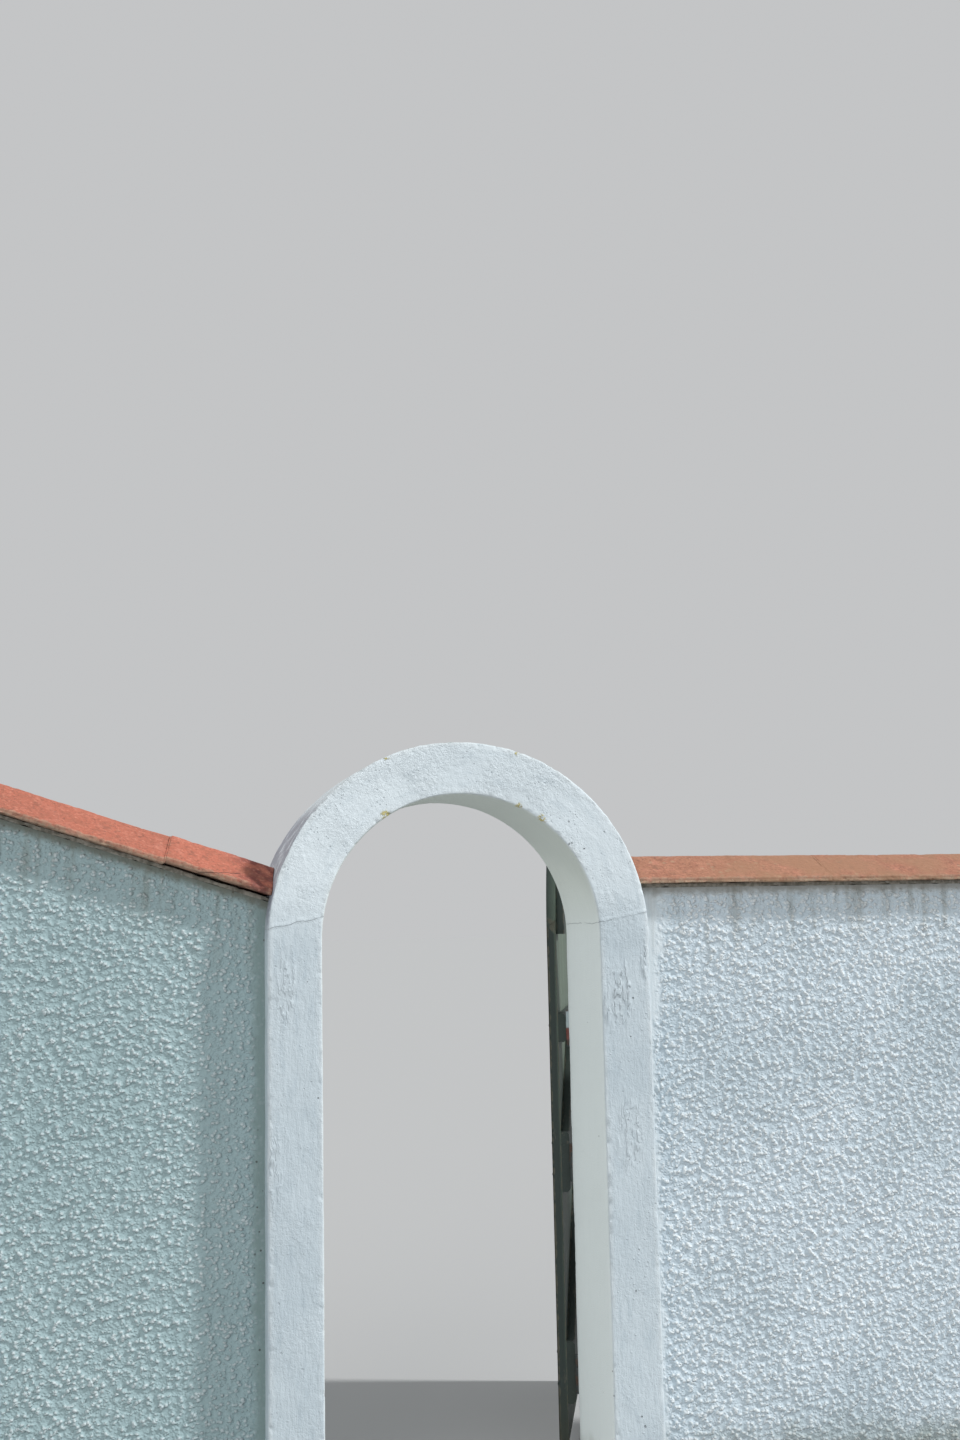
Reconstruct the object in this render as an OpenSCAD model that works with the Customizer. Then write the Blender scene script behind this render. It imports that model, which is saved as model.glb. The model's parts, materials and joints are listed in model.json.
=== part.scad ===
// Round-headed garden gateway in a rendered wall, with a boarded timber door
// Origin: middle of the foot of the hinge pier. X runs along the wall, Y into the garden.

/* [Gateway] */
// Clear width between the two piers
opening_w = 800; // [600:10:1200]
// Height of the springing line, where the round head starts
springing_h = 1530; // [1400:10:1800]
// Face width of each pier and of the arch band
surround_w = 150; // [110:5:220]
// Depth of the piers and the arch from front to back
surround_d = 320; // [260:10:420]
// Rounding of the rendered arrises
arris_r = 7; // [3:1:12]

/* [Walls] */
// Thickness of the rendered garden walls
wall_t = 190; // [140:10:240]
// Length of the level wall beyond the hinge pier
right_wall_l = 1200; // [800:50:2400]
// Length of the raked wall beyond the latch pier
left_wall_l = 1480; // [1100:20:1800]
// How far the level wall rises above the springing line, under its mortar bed
right_wall_rise = 131; // [80:1:230]
// How far the raked wall rises above the springing line, where it meets the surround
left_wall_rise = 109; // [80:1:200]
// Slope of the raked wall top
rake = 18; // [8:1:24]

/* [Coping] */
// Width of the coping slabs across the wall
coping_w = 280; // [260:5:310]
// Height of the square front edge of a slab
coping_edge = 14; // [10:1:24]
// Rise from that edge to the ridge
coping_rise = 74; // [50:2:90]
// Length of a whole slab
coping_l = 600; // [450:10:650]
// Length of the cut slab beside the latch pier
cut_slab_l = 294; // [200:2:400]
// Open joint between two slabs
coping_joint = 3; // [2:1:8]
// Thickness of the mortar bed
bed_t = 12; // [8:1:20]
// Width of the drip groove under each long edge
drip_w = 12; // [8:1:16]
// Depth of the drip groove
drip_d = 5; // [3:1:8]
// Distance from the slab's edge to the drip groove
drip_in = 14; // [10:1:20]

/* [Door leaf] */
// Gap all round the closed leaf
leaf_gap = 11; // [9:1:16]
// Gap between the leaf and the ground
leaf_lift = 40; // [25:5:80]
// Thickness of the boards
board_t = 28; // [20:1:34]
// Open joint between two boards
board_joint = 1.5; // [1:0.5:3]
// Chamfer on the long edges of the boards
board_chamfer = 4; // [2:1:6]
// Thickness of the ledges, braces and head rail
ledge_t = 25; // [18:1:32]
// Width of the top ledge
top_ledge_h = 86; // [70:2:120]
// Width of the middle and bottom ledges
wide_ledge_h = 178; // [120:2:200]
// Width of the braces
brace_h = 84; // [60:2:110]
// Slope of the braces
brace_slope = 38; // [32:1:50]
// Setting back of the ledges and head rail from the leaf's free edge
ledge_in = 18; // [10:2:40]
// Width of the curved head rail
head_rail_h = 84; // [60:2:110]
// Height of the middle of the bottom ledge
bottom_ledge_z = 240; // [170:5:300]
// How far the middle ledge lies above the midpoint of the other two
middle_ledge_rise = 105; // [60:5:120]
// How far the middle of the top ledge lies below the springing line
top_ledge_drop = 284; // [130:2:330]
// How far the door stands open
open_angle = 111; // [0:1:160]

/* [Hinges] */
// Thickness of the hinge plates and straps
plate_t = 4; // [3:0.5:5]
// Height of the plate on the pier
plate_h = 110; // [90:5:130]
// Width of the plate on the pier
plate_w = 42; // [34:2:60]
// Length of the strap along the ledge
strap_l = 380; // [250:10:500]
// Width of the strap beside the knuckle
strap_root = 44; // [36:2:50]
// Width of the strap at its tip
strap_tip = 24; // [16:2:30]
// Outer radius of the hinge knuckles
knuckle_r = 7.5; // [6.5:0.5:9]
// Radius of the hinge pin
pin_r = 4; // [3:0.5:5]
// Running clearance in the hinges
hinge_play = 0.05; // [0.02:0.01:0.1]
// End play between the knuckles
knuckle_gap = 0.5; // [0.2:0.1:1]
// How far the pin stands outside the corner of the reveal
pin_out = 3; // [1:1:6]
// How far the pin stands behind the back face of the pier
pin_back = 8; // [7.75:0.25:10]

/* [Latch furniture] */
// Diameter of the bolt rod
bolt_d = 12; // [8:1:16]
// Length of the bolt's back plate
bolt_l = 150; // [110:5:180]
// Length of the pull handle between its feet
pull_l = 130; // [90:5:150]
// Thickness of the pull's round grip
pull_d = 12; // [10:1:16]
// Distance of the grip from the board
pull_out = 36; // [30:1:45]

/* [Hidden] */
$fn = 96;

// Colours as they read on the object
render_colour = "lightsteelblue";
mortar_colour = "gainsboro";
coping_colour = "indianred";
timber_colour = "darkslategray";
iron_colour = "dimgray";

// Plan of the gateway, measured from the foot of the hinge pier
right_wall_h = springing_h + right_wall_rise;
left_wall_h = springing_h + left_wall_rise;
top_ledge_z = springing_h - top_ledge_drop;
middle_ledge_z = (bottom_ledge_z + top_ledge_z) / 2 + middle_ledge_rise;
opening_r = opening_w / 2;
outer_r = opening_r + surround_w;
gate_x = -(opening_r + surround_w / 2);
front_y = -surround_d / 2;
back_y = surround_d / 2;
reveal_x = gate_x + opening_r;
// Clearance between a straight piece and the round back of the arch band
arch_clear = 0.3;
// How far the pieces cut round the arch band reach before they are cut
arch_reach = 120;

// The hinge pin and the leaf, drawn shut and then swung open
pin_x = reveal_x + pin_out;
pin_y = back_y + pin_back;
leaf_r = opening_r - leaf_gap;
board_n = 6;
leaf_hinge_x = gate_x + leaf_r;
leaf_free_x = gate_x - leaf_r;
ledge_y = pin_y - pin_back - ledge_t;
board_y = ledge_y - board_t;
board_pitch = (2 * leaf_r + board_joint) / board_n;
knuckle_h = plate_h / 3;
// Bolt furniture: height of its plates, the staples that stand on them, room round the rod
bolt_plate_h = 44;
staple_w = 14;
staple_wall = 3;
staple_play = 0.5;
plate_margin = 4;
// Middle of the bolt rod behind the face that its plate lies on
rod_out = plate_t + bolt_d / 2 + 1;
// The square feet of the pull handle: width, thickness and height
pull_foot = [30, 5, 34];
// The pull handle sits midway between the two upper ledges
pull_z = (middle_ledge_z + wide_ledge_h / 2 + top_ledge_z - top_ledge_h / 2) / 2;

// Cuts reach this far past the faces they cut
cut = 1;

// A block given by its low and high corners
module block(low, high) {
    translate(low) cube(high - low);
}

// A cylinder about the middle of the round head, lying across the wall
module head_cylinder(r, y0, y1) {
    translate([gate_x, y1, springing_h]) rotate([90, 0, 0]) cylinder(r = r, h = y1 - y0);
}

// Section of the surround: a rectangle with rounded corners
module surround_section() {
    r = arris_r;
    translate([r, 0]) square([surround_w - 2 * r, surround_d]);
    translate([0, r]) square([surround_w, surround_d - 2 * r]);
    for (x = [r, surround_w - r], y = [r, surround_d - r]) translate([x, y]) circle(r, $fn = 32);
}

module pier(x) {
    color(render_colour) translate([x, front_y, 0]) linear_extrude(springing_h) surround_section();
}

module left_pier() {
    pier(gate_x - outer_r);
}

module right_pier() {
    pier(reveal_x);
}

module arch_ring() {
    color(render_colour) translate([gate_x, back_y, springing_h]) rotate([90, 0, 0])
        rotate_extrude(angle = 180) translate([opening_r, 0]) surround_section();
}

// Heights along the raked wall: z at a distance out from the surround
function rake_z(out) = left_wall_h + out * tan(rake);

module wall_slab(points) {
    difference() {
        translate([0, wall_t / 2, 0]) rotate([90, 0, 0]) linear_extrude(wall_t) polygon(points);
        head_cylinder(outer_r + arch_clear, front_y, back_y);
    }
}

module left_wall() {
    x1 = gate_x - outer_r;
    x0 = x1 - left_wall_l;
    color(render_colour) wall_slab([[x0, 0], [x1, 0], [x1, springing_h], [x1 + arch_reach, springing_h],
        [x1 + arch_reach, rake_z(-arch_reach)], [x0, rake_z(left_wall_l)]]);
}

module right_wall() {
    x0 = gate_x + outer_r;
    x1 = x0 + right_wall_l;
    color(render_colour) wall_slab([[x0, 0], [x1, 0], [x1, right_wall_h], [x0 - arch_reach, right_wall_h],
        [x0 - arch_reach, springing_h], [x0, springing_h]]);
}

// Section of the coping: low square edges, a ridge in the middle, a drip groove under each edge
module coping_section() {
    w = coping_w / 2;
    difference() {
        polygon([[-w, 0], [w, 0], [w, coping_edge], [0, coping_edge + coping_rise], [-w, coping_edge]]);
        for (side = [-1, 1]) translate([side * (w - drip_in - drip_w / 2) - drip_w / 2, -cut])
            square([drip_w, drip_d + cut]);
    }
}

// Lays a section along X from s0 to s1
module run_along(s0, s1) {
    translate([s0, 0, 0]) rotate([90, 0, 90]) linear_extrude(s1 - s0) children();
}

// Everything that lies on the raked wall is drawn level, leftwards from the surround
module on_rake() {
    translate([gate_x - outer_r, 0, left_wall_h]) rotate([0, rake, 0]) children();
}

// Cuts a piece clear of the round back of the arch band
module clear_of_arch() {
    difference() {
        children();
        head_cylinder(outer_r + arch_clear, front_y - cut, back_y + cut);
    }
}

// Ends a raked piece plumb at the wall's far end
module plumb_end() {
    intersection() {
        children();
        block([gate_x - outer_r - left_wall_l, front_y, 0], [gate_x, back_y, 2 * springing_h]);
    }
}

module bed_section() {
    translate([-wall_t / 2, 0]) square([wall_t, bed_t]);
}

module left_bed() {
    color(mortar_colour) clear_of_arch() plumb_end() on_rake() run_along(-2 * left_wall_l, arch_reach) bed_section();
}

module right_bed() {
    color(mortar_colour) clear_of_arch() translate([gate_x + outer_r, 0, right_wall_h])
        run_along(-arch_reach, right_wall_l) bed_section();
}

module left_coping(s_low, s_high) {
    color(coping_colour) clear_of_arch() plumb_end() on_rake() translate([0, 0, bed_t])
        run_along(-s_high, -s_low) coping_section();
}

module left_coping_1() {
    left_coping(-arch_reach, cut_slab_l);
}

module left_coping_2() {
    left_coping(cut_slab_l + coping_joint, cut_slab_l + coping_l);
}

module left_coping_3() {
    left_coping(cut_slab_l + coping_l + coping_joint, 2 * left_wall_l);
}

module right_coping(s0, s1) {
    color(coping_colour) clear_of_arch() translate([gate_x + outer_r, 0, right_wall_h + bed_t])
        run_along(s0, s1) coping_section();
}

module right_coping_1() {
    right_coping(-arch_reach, coping_l);
}

module right_coping_2() {
    right_coping(coping_l + coping_joint, right_wall_l);
}

// Swings a piece of the door from shut to where it stands
module hung() {
    translate([pin_x, pin_y, 0]) rotate([0, 0, -open_angle]) translate([-pin_x, -pin_y, 0]) children();
}

// Outline of the leaf as a thick plate: straight sides and a round head
module leaf_plate(r, y0, y1) {
    union() {
        block([gate_x - r, y0, leaf_lift], [gate_x + r, y1, springing_h]);
        head_cylinder(r, y0, y1);
    }
}

// One upright board with chamfered edges on its street face
module door_board(i) {
    x0 = leaf_free_x + i * board_pitch;
    x1 = x0 + board_pitch - board_joint;
    c = board_chamfer;
    y0 = board_y;
    y1 = board_y + board_t;
    color(timber_colour) hung() intersection() {
        linear_extrude(2 * springing_h)
            polygon([[x0 + c, y0], [x1 - c, y0], [x1, y0 + c], [x1, y1], [x0, y1], [x0, y0 + c]]);
        leaf_plate(leaf_r, y0 - cut, y1 + cut);
    }
}

// Section of a ledge: weathered top edge towards the garden
module ledge(z, width) {
    x0 = leaf_free_x + ledge_in;
    x1 = leaf_hinge_x;
    h = width / 2;
    b = ledge_t / 3;
    color(timber_colour) hung() translate([0, ledge_y, z]) run_along(x0, x1)
        polygon([[0, -h], [ledge_t - b, -h], [ledge_t, -h + b], [ledge_t, h - b], [ledge_t - b, h], [0, h]]);
}

// Curved rail that holds the tops of the boards
module head_rail() {
    r1 = leaf_r - ledge_in;
    r0 = r1 - head_rail_h;
    color(timber_colour) hung() translate([gate_x, ledge_y + ledge_t, springing_h]) rotate([90, 0, 0])
        rotate_extrude(angle = 180) translate([r0, 0]) square([head_rail_h, ledge_t]);
}

// Sloping brace from the top of one ledge to the underside of the next, its foot on the hinge side
module brace(z0, z1) {
    x_foot = leaf_hinge_x - ledge_in;
    span = brace_h / sin(brace_slope);
    room = x_foot - leaf_free_x - 2 * ledge_in - span;
    run = min((z1 - z0) / tan(brace_slope), room);
    color(timber_colour) hung() translate([0, ledge_y + ledge_t, 0]) rotate([90, 0, 0]) linear_extrude(ledge_t)
        polygon([[x_foot, z0], [x_foot - run, z1], [x_foot - run - span, z1], [x_foot - span, z0]]);
}

module upper_brace() {
    brace(middle_ledge_z + wide_ledge_h / 2, top_ledge_z - top_ledge_h / 2);
}

module lower_brace() {
    brace(bottom_ledge_z + wide_ledge_h / 2, middle_ledge_z - wide_ledge_h / 2);
}

// Fixed half of a hinge: plate on the pier, two knuckles and the pin
module hinge_plate(z) {
    half = plate_h / 2;
    room = knuckle_h / 2 + knuckle_gap;
    reach = knuckle_r + 2 * knuckle_gap;
    color(iron_colour) translate([0, 0, z]) {
        difference() {
            union() {
                block([pin_x, back_y, -half], [pin_x + plate_w, back_y + plate_t, half]);
                translate([pin_x, pin_y, -half]) cylinder(r = knuckle_r, h = plate_h);
            }
            block([pin_x - reach, back_y - cut, -room], [pin_x + reach, pin_y + reach, room]);
        }
        translate([pin_x, pin_y, -half]) cylinder(r = pin_r, h = plate_h);
    }
}

// Moving half: a knuckle bored for the pin and a tapered strap along the ledge
module hinge_strap(z) {
    x1 = leaf_hinge_x;
    x0 = pin_x - strap_l;
    y0 = ledge_y + ledge_t;
    color(iron_colour) hung() translate([0, 0, z]) difference() {
        union() {
            translate([0, y0 + plate_t, 0]) rotate([90, 0, 0]) linear_extrude(plate_t)
                polygon([[x1, -strap_root / 2], [x1, strap_root / 2], [x0, strap_tip / 2], [x0, -strap_tip / 2]]);
            translate([x0, y0 + plate_t, 0]) rotate([90, 0, 0]) cylinder(d = strap_tip, h = plate_t);
            block([x1 - cut, y0, -knuckle_h / 2], [pin_x, y0 + plate_t, knuckle_h / 2]);
            translate([pin_x, pin_y, -knuckle_h / 2]) cylinder(r = knuckle_r, h = knuckle_h);
        }
        translate([pin_x, pin_y, -plate_h]) cylinder(r = pin_r + hinge_play, h = 2 * plate_h);
    }
}

// Pull handle: a round grip on two feet, on the garden face of the free board
module door_pull() {
    x = leaf_free_x + board_pitch / 2;
    color(iron_colour) hung() translate([x, ledge_y, pull_z]) {
        for (side = [-1, 1]) translate([0, 0, side * pull_l / 2]) {
            translate([-pull_foot[0] / 2, 0, -pull_foot[2] / 2]) cube(pull_foot);
            rotate([-90, 0, 0]) cylinder(d = pull_d, h = pull_out);
            translate([0, pull_out, 0]) sphere(d = pull_d, $fn = 32);
        }
        translate([0, pull_out, -pull_l / 2]) cylinder(d = pull_d, h = pull_l);
    }
}

// Back plate of the bolt or its keep, lying on the face at y
module furniture_plate(x0, x1, y) {
    block([x0, y, -bolt_plate_h / 2], [x1, y + plate_t, bolt_plate_h / 2]);
}

// Staple that the rod runs through
module staple(x, y) {
    block([x, y, -bolt_d], [x + staple_w, y + rod_out + bolt_d / 2 + staple_wall, bolt_d]);
}

// Round bar along X in the line of the bolt rod
module rod(x, y, d, l) {
    translate([x, y + rod_out, 0]) rotate([0, 90, 0]) cylinder(d = d, h = l);
}

// Bolt on the top ledge: back plate, two staples, the rod and its knob, drawn back
module door_bolt() {
    x0 = leaf_free_x + ledge_in;
    x1 = x0 + bolt_l;
    y = ledge_y + ledge_t;
    color(iron_colour) hung() translate([0, 0, top_ledge_z]) {
        furniture_plate(x0, x1, y);
        staple(x0 + plate_margin, y);
        staple(x1 - plate_margin - staple_w, y);
        rod(x0, y, bolt_d, bolt_l + bolt_d);
        translate([x0 + bolt_l / 2, y + rod_out, 0]) rotate([-90, 0, 0])
            cylinder(d = bolt_d - 2, h = 2 * bolt_d);
    }
}

// Keep for the bolt, on the back face of the latch pier
module bolt_keep() {
    x1 = gate_x - opening_r - arris_r;
    x0 = x1 - staple_w - 4 * plate_margin;
    mid = (x0 + x1 - staple_w) / 2;
    color(iron_colour) translate([0, 0, top_ledge_z]) {
        furniture_plate(x0, x1, back_y);
        difference() {
            staple(mid, back_y);
            rod(mid - cut, back_y, bolt_d + 2 * staple_play, staple_w + 2 * cut);
        }
    }
}

left_pier();
right_pier();
arch_ring();
left_wall();
right_wall();
left_bed();
right_bed();
left_coping_1();
left_coping_2();
left_coping_3();
right_coping_1();
right_coping_2();
hinge_plate(top_ledge_z);  // hinge_plate_top
hinge_plate(middle_ledge_z);  // hinge_plate_middle
hinge_plate(bottom_ledge_z);  // hinge_plate_bottom
bolt_keep();
door_board(0);  // door_board_1
door_board(1);  // door_board_2
door_board(2);  // door_board_3
door_board(3);  // door_board_4
door_board(4);  // door_board_5
door_board(5);  // door_board_6
ledge(top_ledge_z, top_ledge_h);  // top_ledge
ledge(middle_ledge_z, wide_ledge_h);  // middle_ledge
ledge(bottom_ledge_z, wide_ledge_h);  // bottom_ledge
head_rail();
upper_brace();
lower_brace();
hinge_strap(top_ledge_z);  // hinge_strap_top
hinge_strap(middle_ledge_z);  // hinge_strap_middle
hinge_strap(bottom_ledge_z);  // hinge_strap_bottom
door_pull();
door_bolt();
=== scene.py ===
"""Round-headed garden gateway with rendered walls, pitched copings and a boarded door.

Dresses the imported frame: relief, paint, wear and small fixings. Metres, X along the wall,
Y into the garden, Z up.
"""

import functools
import json
import math

import bmesh
import bpy
import numpy as np
from bpy.props import FloatProperty, FloatVectorProperty, IntProperty, PointerProperty
from mathutils import Matrix, Vector

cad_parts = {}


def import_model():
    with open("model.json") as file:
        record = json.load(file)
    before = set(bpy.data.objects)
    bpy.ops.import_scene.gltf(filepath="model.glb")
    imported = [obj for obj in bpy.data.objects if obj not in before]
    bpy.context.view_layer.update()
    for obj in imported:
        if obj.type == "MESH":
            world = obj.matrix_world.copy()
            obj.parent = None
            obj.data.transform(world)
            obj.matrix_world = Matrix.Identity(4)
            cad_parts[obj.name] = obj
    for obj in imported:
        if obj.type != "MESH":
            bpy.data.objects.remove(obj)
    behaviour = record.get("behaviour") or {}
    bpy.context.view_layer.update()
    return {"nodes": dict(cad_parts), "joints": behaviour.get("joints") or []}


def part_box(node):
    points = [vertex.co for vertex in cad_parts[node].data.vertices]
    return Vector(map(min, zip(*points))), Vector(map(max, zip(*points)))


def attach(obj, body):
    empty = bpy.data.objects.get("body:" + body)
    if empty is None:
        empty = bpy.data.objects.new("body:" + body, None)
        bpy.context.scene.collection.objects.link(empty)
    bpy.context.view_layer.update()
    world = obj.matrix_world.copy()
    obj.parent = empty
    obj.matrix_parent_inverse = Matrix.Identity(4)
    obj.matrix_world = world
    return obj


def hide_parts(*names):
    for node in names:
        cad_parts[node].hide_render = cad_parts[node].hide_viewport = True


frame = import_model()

bl_info = {
    "name": "Round-headed garden gateway",
    "version": (1, 0, 0),
    "blender": (4, 5, 0),
    "location": "3D View > Sidebar > Gateway",
    "description": "Builds a rendered garden gateway with raked wall, copings and timber door",
    "category": "Object",
}

# Places read from the frame
PIER_LOW, PIER_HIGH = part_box("right_pier")
RING_LOW, RING_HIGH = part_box("arch_ring")
LEFT_LOW, LEFT_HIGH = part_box("left_wall")
RIGHT_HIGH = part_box("right_wall")[1]
BED_LOW, BED_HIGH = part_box("right_bed")
COPING_LOW, COPING_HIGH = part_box("right_coping_1")
GATE_X = (RING_LOW.x + RING_HIGH.x) / 2
OUTER_R = (RING_HIGH.x - RING_LOW.x) / 2
OPENING_R = PIER_LOW.x - GATE_X
SURROUND_W = OUTER_R - OPENING_R
SPRING_Z = PIER_HIGH.z
FRONT_Y, BACK_Y = PIER_LOW.y, PIER_HIGH.y
LEFT_FOOT_X = GATE_X - OUTER_R
RIGHT_FOOT_X = GATE_X + OUTER_R
WALL_HALF = RIGHT_HIGH.y
BED_T = BED_HIGH.z - BED_LOW.z
COPING_HALF = COPING_HIGH.y
RAKE = math.radians(18)
LEFT_TOP_Z = LEFT_HIGH.z - (LEFT_FOOT_X - LEFT_LOW.x) * math.tan(RAKE)

# A wall's free end as rounding and return, how far its skins run past its middle and into the
# surround, and how far a bed stands proud of it
WALL_ARRIS = 0.008
WALL_RETURN = 0.040
WALL_LAP = 0.003
BED_PROUD = 0.001
BED_ARRIS = 0.002

# Marks of age on the surround: cracks, craters, torn patches as (x, z, half width, half height,
# strength) on the street face, and tufts of lichen as (turn, radius, reach) round the arch
CRACK_Z = SPRING_Z + 0.031
CRACK_SLOPE = 0.20
CRACK_W = 0.0006
PIT_PITCH = 0.040
TORN_PITCH = 0.0084
TORN = (
    (-0.014, 1.362, 0.046, 0.110, 1.0),
    (0.060, 1.452, 0.016, 0.070, 0.8),
    (-0.060, 1.320, 0.016, 0.060, 0.6),
    (0.000, 0.965, 0.050, 0.130, 0.55),
    (-0.974, 1.400, 0.036, 0.130, 0.50),
    (-1.008, 0.920, 0.028, 0.150, 0.40),
)
LICHEN = (
    (math.radians(122.8), OPENING_R + 0.006, 0.018),
    (math.radians(65.4), OPENING_R + 0.002, 0.014),
    (math.radians(54.5), OPENING_R + 0.004, 0.018),
    (math.radians(113.1), OUTER_R - 0.004, 0.009),
    (math.radians(72.2), OUTER_R - 0.006, 0.008),
)

# Coping slabs, as in the part's source, the rounding and wear of their arrises, ridge and ends,
# their gap to the arch band, the pointing between them, and the crack in the cut one as (x, z,
# slope, half length)
SLAB_EDGE = 0.014
SLAB_RISE = COPING_HIGH.z - COPING_LOW.z - SLAB_EDGE
SLAB_L = 0.600
CUT_SLAB_L = 0.294
SLAB_JOINT = 0.003
CUT_SLAB_LIFT = 0.006
DRIP_IN = 0.014
DRIP_W = 0.012
DRIP_D = 0.005
SLAB_ARRIS = 0.005
SLAB_RIDGE = 0.016
SLAB_END = 0.0018
SLAB_WEAR = 0.008
SLAB_GAP = 0.001
POINTING_SCALE = 0.998
POINTING_LAP = 0.001
SLAB_CRACK = (-1.150, 1.71712, -0.04, 0.062)
SLAB_CRACK_W = 0.0008

# Door leaf, drawn shut and then swung open about the hinge pin
HINGE = frame["joints"][0]
PIN_X, PIN_Y = HINGE["pos_m"][:2]
OPEN = math.radians(HINGE["range_deg"][1])
LEAF_GAP = 0.011
LEAF_R = OPENING_R - LEAF_GAP
LEAF_LIFT = 0.040
FREE_X, ROOT_X = GATE_X - LEAF_R, GATE_X + LEAF_R
BOARD_T = 0.028
BOARD_N = 6
BOARD_GAP = 0.0015
BOARD_PITCH = (2 * LEAF_R + BOARD_GAP) / BOARD_N
BOARD_CHAMFER = 0.004
BOARD_EASE = 0.0012
LEDGE_T = 0.025
LEDGE_Y = BACK_Y - LEDGE_T
BOARD_Y = LEDGE_Y - BOARD_T
LEDGE_IN = 0.018
HEAD_RAIL_H = 0.084
BRACE_H = 0.084
BRACE_SLOPE = math.radians(38)
BRACE_EASE = (0.001, 0.002)
PLATE_T = 0.004
STRAP_L = 0.380
BOLT_L = 0.150
PULL_L = 0.130
PULL_Z = 1.070
LEDGES = {
    "bottom_ledge": (0.240, 0.178),
    "middle_ledge": (0.848, 0.178),
    "top_ledge": (1.246, 0.086),
}
TOP_LEDGE_Z = LEDGES["top_ledge"][0]

# Mesh of the timbers as (cell round the section, rings along), the share of painted sunlight on those
# behind the boards, kept low as painted shade, and a step that gives each its own stretch of the grain
BOARD_MESH = (0.0095, 150)
LEDGE_MESH = (0.008, 64)
BRACE_MESH = (0.009, 50)
RAIL_MESH = (0.009, 110)
LEDGE_SUNLIGHT = 0.08
BRACE_SUNLIGHT = 0.10
BOARD_GRAIN = 3.1
LEDGE_GRAIN = 5.3
RAIL_GRAIN = 9.0


def srgb(red, green, blue):
    """Linear colour of a paint given by its screen values from 0 to 255."""
    return tuple(((c / 255 + 0.055) / 1.055) ** 2.4 for c in (red, green, blue))


# Expressions on node trees


def both_sides(operation):
    """Methods for a sum with the socket before and after its other term."""

    def before(self, other):
        return self.graph.math(operation, self, other)

    def after(self, other):
        return self.graph.math(operation, other, self)

    return before, after


class Val:
    """A socket of a node tree, on which sums are written as plain expressions."""

    __add__, __radd__ = both_sides("ADD")
    __sub__, __rsub__ = both_sides("SUBTRACT")
    __mul__, __rmul__ = both_sides("MULTIPLY")
    __truediv__, __rtruediv__ = both_sides("DIVIDE")

    def __init__(self, graph, socket):
        self.graph, self.socket = graph, socket

    def __abs__(self):
        return self.graph.math("ABSOLUTE", self)

    def clamp(self):
        return self.graph.add("ShaderNodeClamp", {}, {"Value": self})


class Graph:
    """A node tree that is filled by calls."""

    def __init__(self, tree):
        self.tree = tree

    def add(self, kind, settings=None, inputs=None, out=0):
        """New node with its plain settings, and with inputs that are values or other sockets."""
        node = self.tree.nodes.new(kind)
        for key, value in (settings or {}).items():
            setattr(node, key, value)
        for key, value in (inputs or {}).items():
            socket = node.inputs[key]
            if isinstance(value, Val):
                self.tree.links.new(value.socket, socket)
            elif socket.type == "RGBA" and len(value) == 3:
                socket.default_value = (*value, 1.0)
            else:
                socket.default_value = value
        return Val(self, node.outputs[out])

    def math(self, operation, *terms):
        return self.add("ShaderNodeMath", {"operation": operation}, dict(enumerate(terms)))

    def vec(self, operation, *terms):
        out = 1 if operation == "LENGTH" else 0
        return self.add("ShaderNodeVectorMath", {"operation": operation}, dict(enumerate(terms)), out)

    def split(self, vector):
        first = self.add("ShaderNodeSeparateXYZ", {}, {0: vector})
        return [Val(self, s) for s in first.socket.node.outputs]

    def join(self, x, y, z):
        return self.add("ShaderNodeCombineXYZ", {}, {0: x, 1: y, 2: z})

    def scaled(self, vector, factor):
        return self.add("ShaderNodeVectorMath", {"operation": "SCALE"}, {0: vector, "Scale": factor})

    def stretched(self, vector, *factors):
        return self.vec("MULTIPLY", vector, factors)

    def shifted(self, vector, *step):
        return self.vec("ADD", vector, step)

    def between(self, value, start, end, low=0.0, high=1.0):
        """Smooth step from low at start to high at end."""
        terms = {"Value": value, "From Min": start, "From Max": end, "To Min": low, "To Max": high}
        return self.add("ShaderNodeMapRange", {"interpolation_type": "SMOOTHSTEP"}, terms)

    def noise(self, place, size, detail=2.0, rough=0.5, out=0):
        terms = {"Vector": place, "Scale": 1.0 / size, "Detail": detail, "Roughness": rough}
        return self.add("ShaderNodeTexNoise", {}, terms, out)

    def cells(self, place, size):
        """Distance from the nearest of scattered points, in shares of their pitch."""
        return self.add("ShaderNodeTexVoronoi", {}, {"Vector": place, "Scale": 1.0 / size})

    def patches(self, size, detail, start, end, place=None):
        """Soft patches: a noise, stepped smoothly between two of its levels."""
        return self.between(self.noise(place or self.place, size, detail), start, end)

    def dots(self, size, start, end, place=None):
        """Scattered round dots: cells, stepped smoothly between two distances."""
        return self.between(self.cells(place or self.place, size), start, end)

    def uneven(self, size, detail, reach, place=None):
        """Noise about nought, as wide as reach."""
        return (self.noise(place or self.place, size, detail) - 0.5) * reach

    def mix(self, factor, a, b):
        """Colours a and b mixed by a factor."""
        return self.add("ShaderNodeMix", {"data_type": "RGBA"}, {0: factor, 6: a, 7: b}, 2)

    def spot(self, place, centre, reach, soft=0.6):
        """1 at centre, falling to 0 at an ellipsoid of that reach."""
        apart = self.vec("DIVIDE", self.vec("SUBTRACT", place, centre), reach)
        return self.between(self.vec("LENGTH", apart), 1.0, 1.0 - soft)

    def line(self, value, width):
        """1 where value is nearly nought, 0 beyond twice the width."""
        return self.between(abs(value), width * 2.0, width * 0.4)

    def warped(self, place, size, reach, pattern=None):
        """The place moved about by a smooth noise, so that patterns don't run straight."""
        noise = self.noise(pattern or place, size, 1.0, out=1)
        push = self.vec("SUBTRACT", noise, (0.5, 0.5, 0.5))
        return self.vec("ADD", place, self.scaled(push, 2 * reach))

    def level_side(self):
        """1 to the right of the gateway, where the wall is level, and 0 to its left."""
        return self.between(self.split(self.place)[0], GATE_X - 0.1, GATE_X + 0.1)


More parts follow.
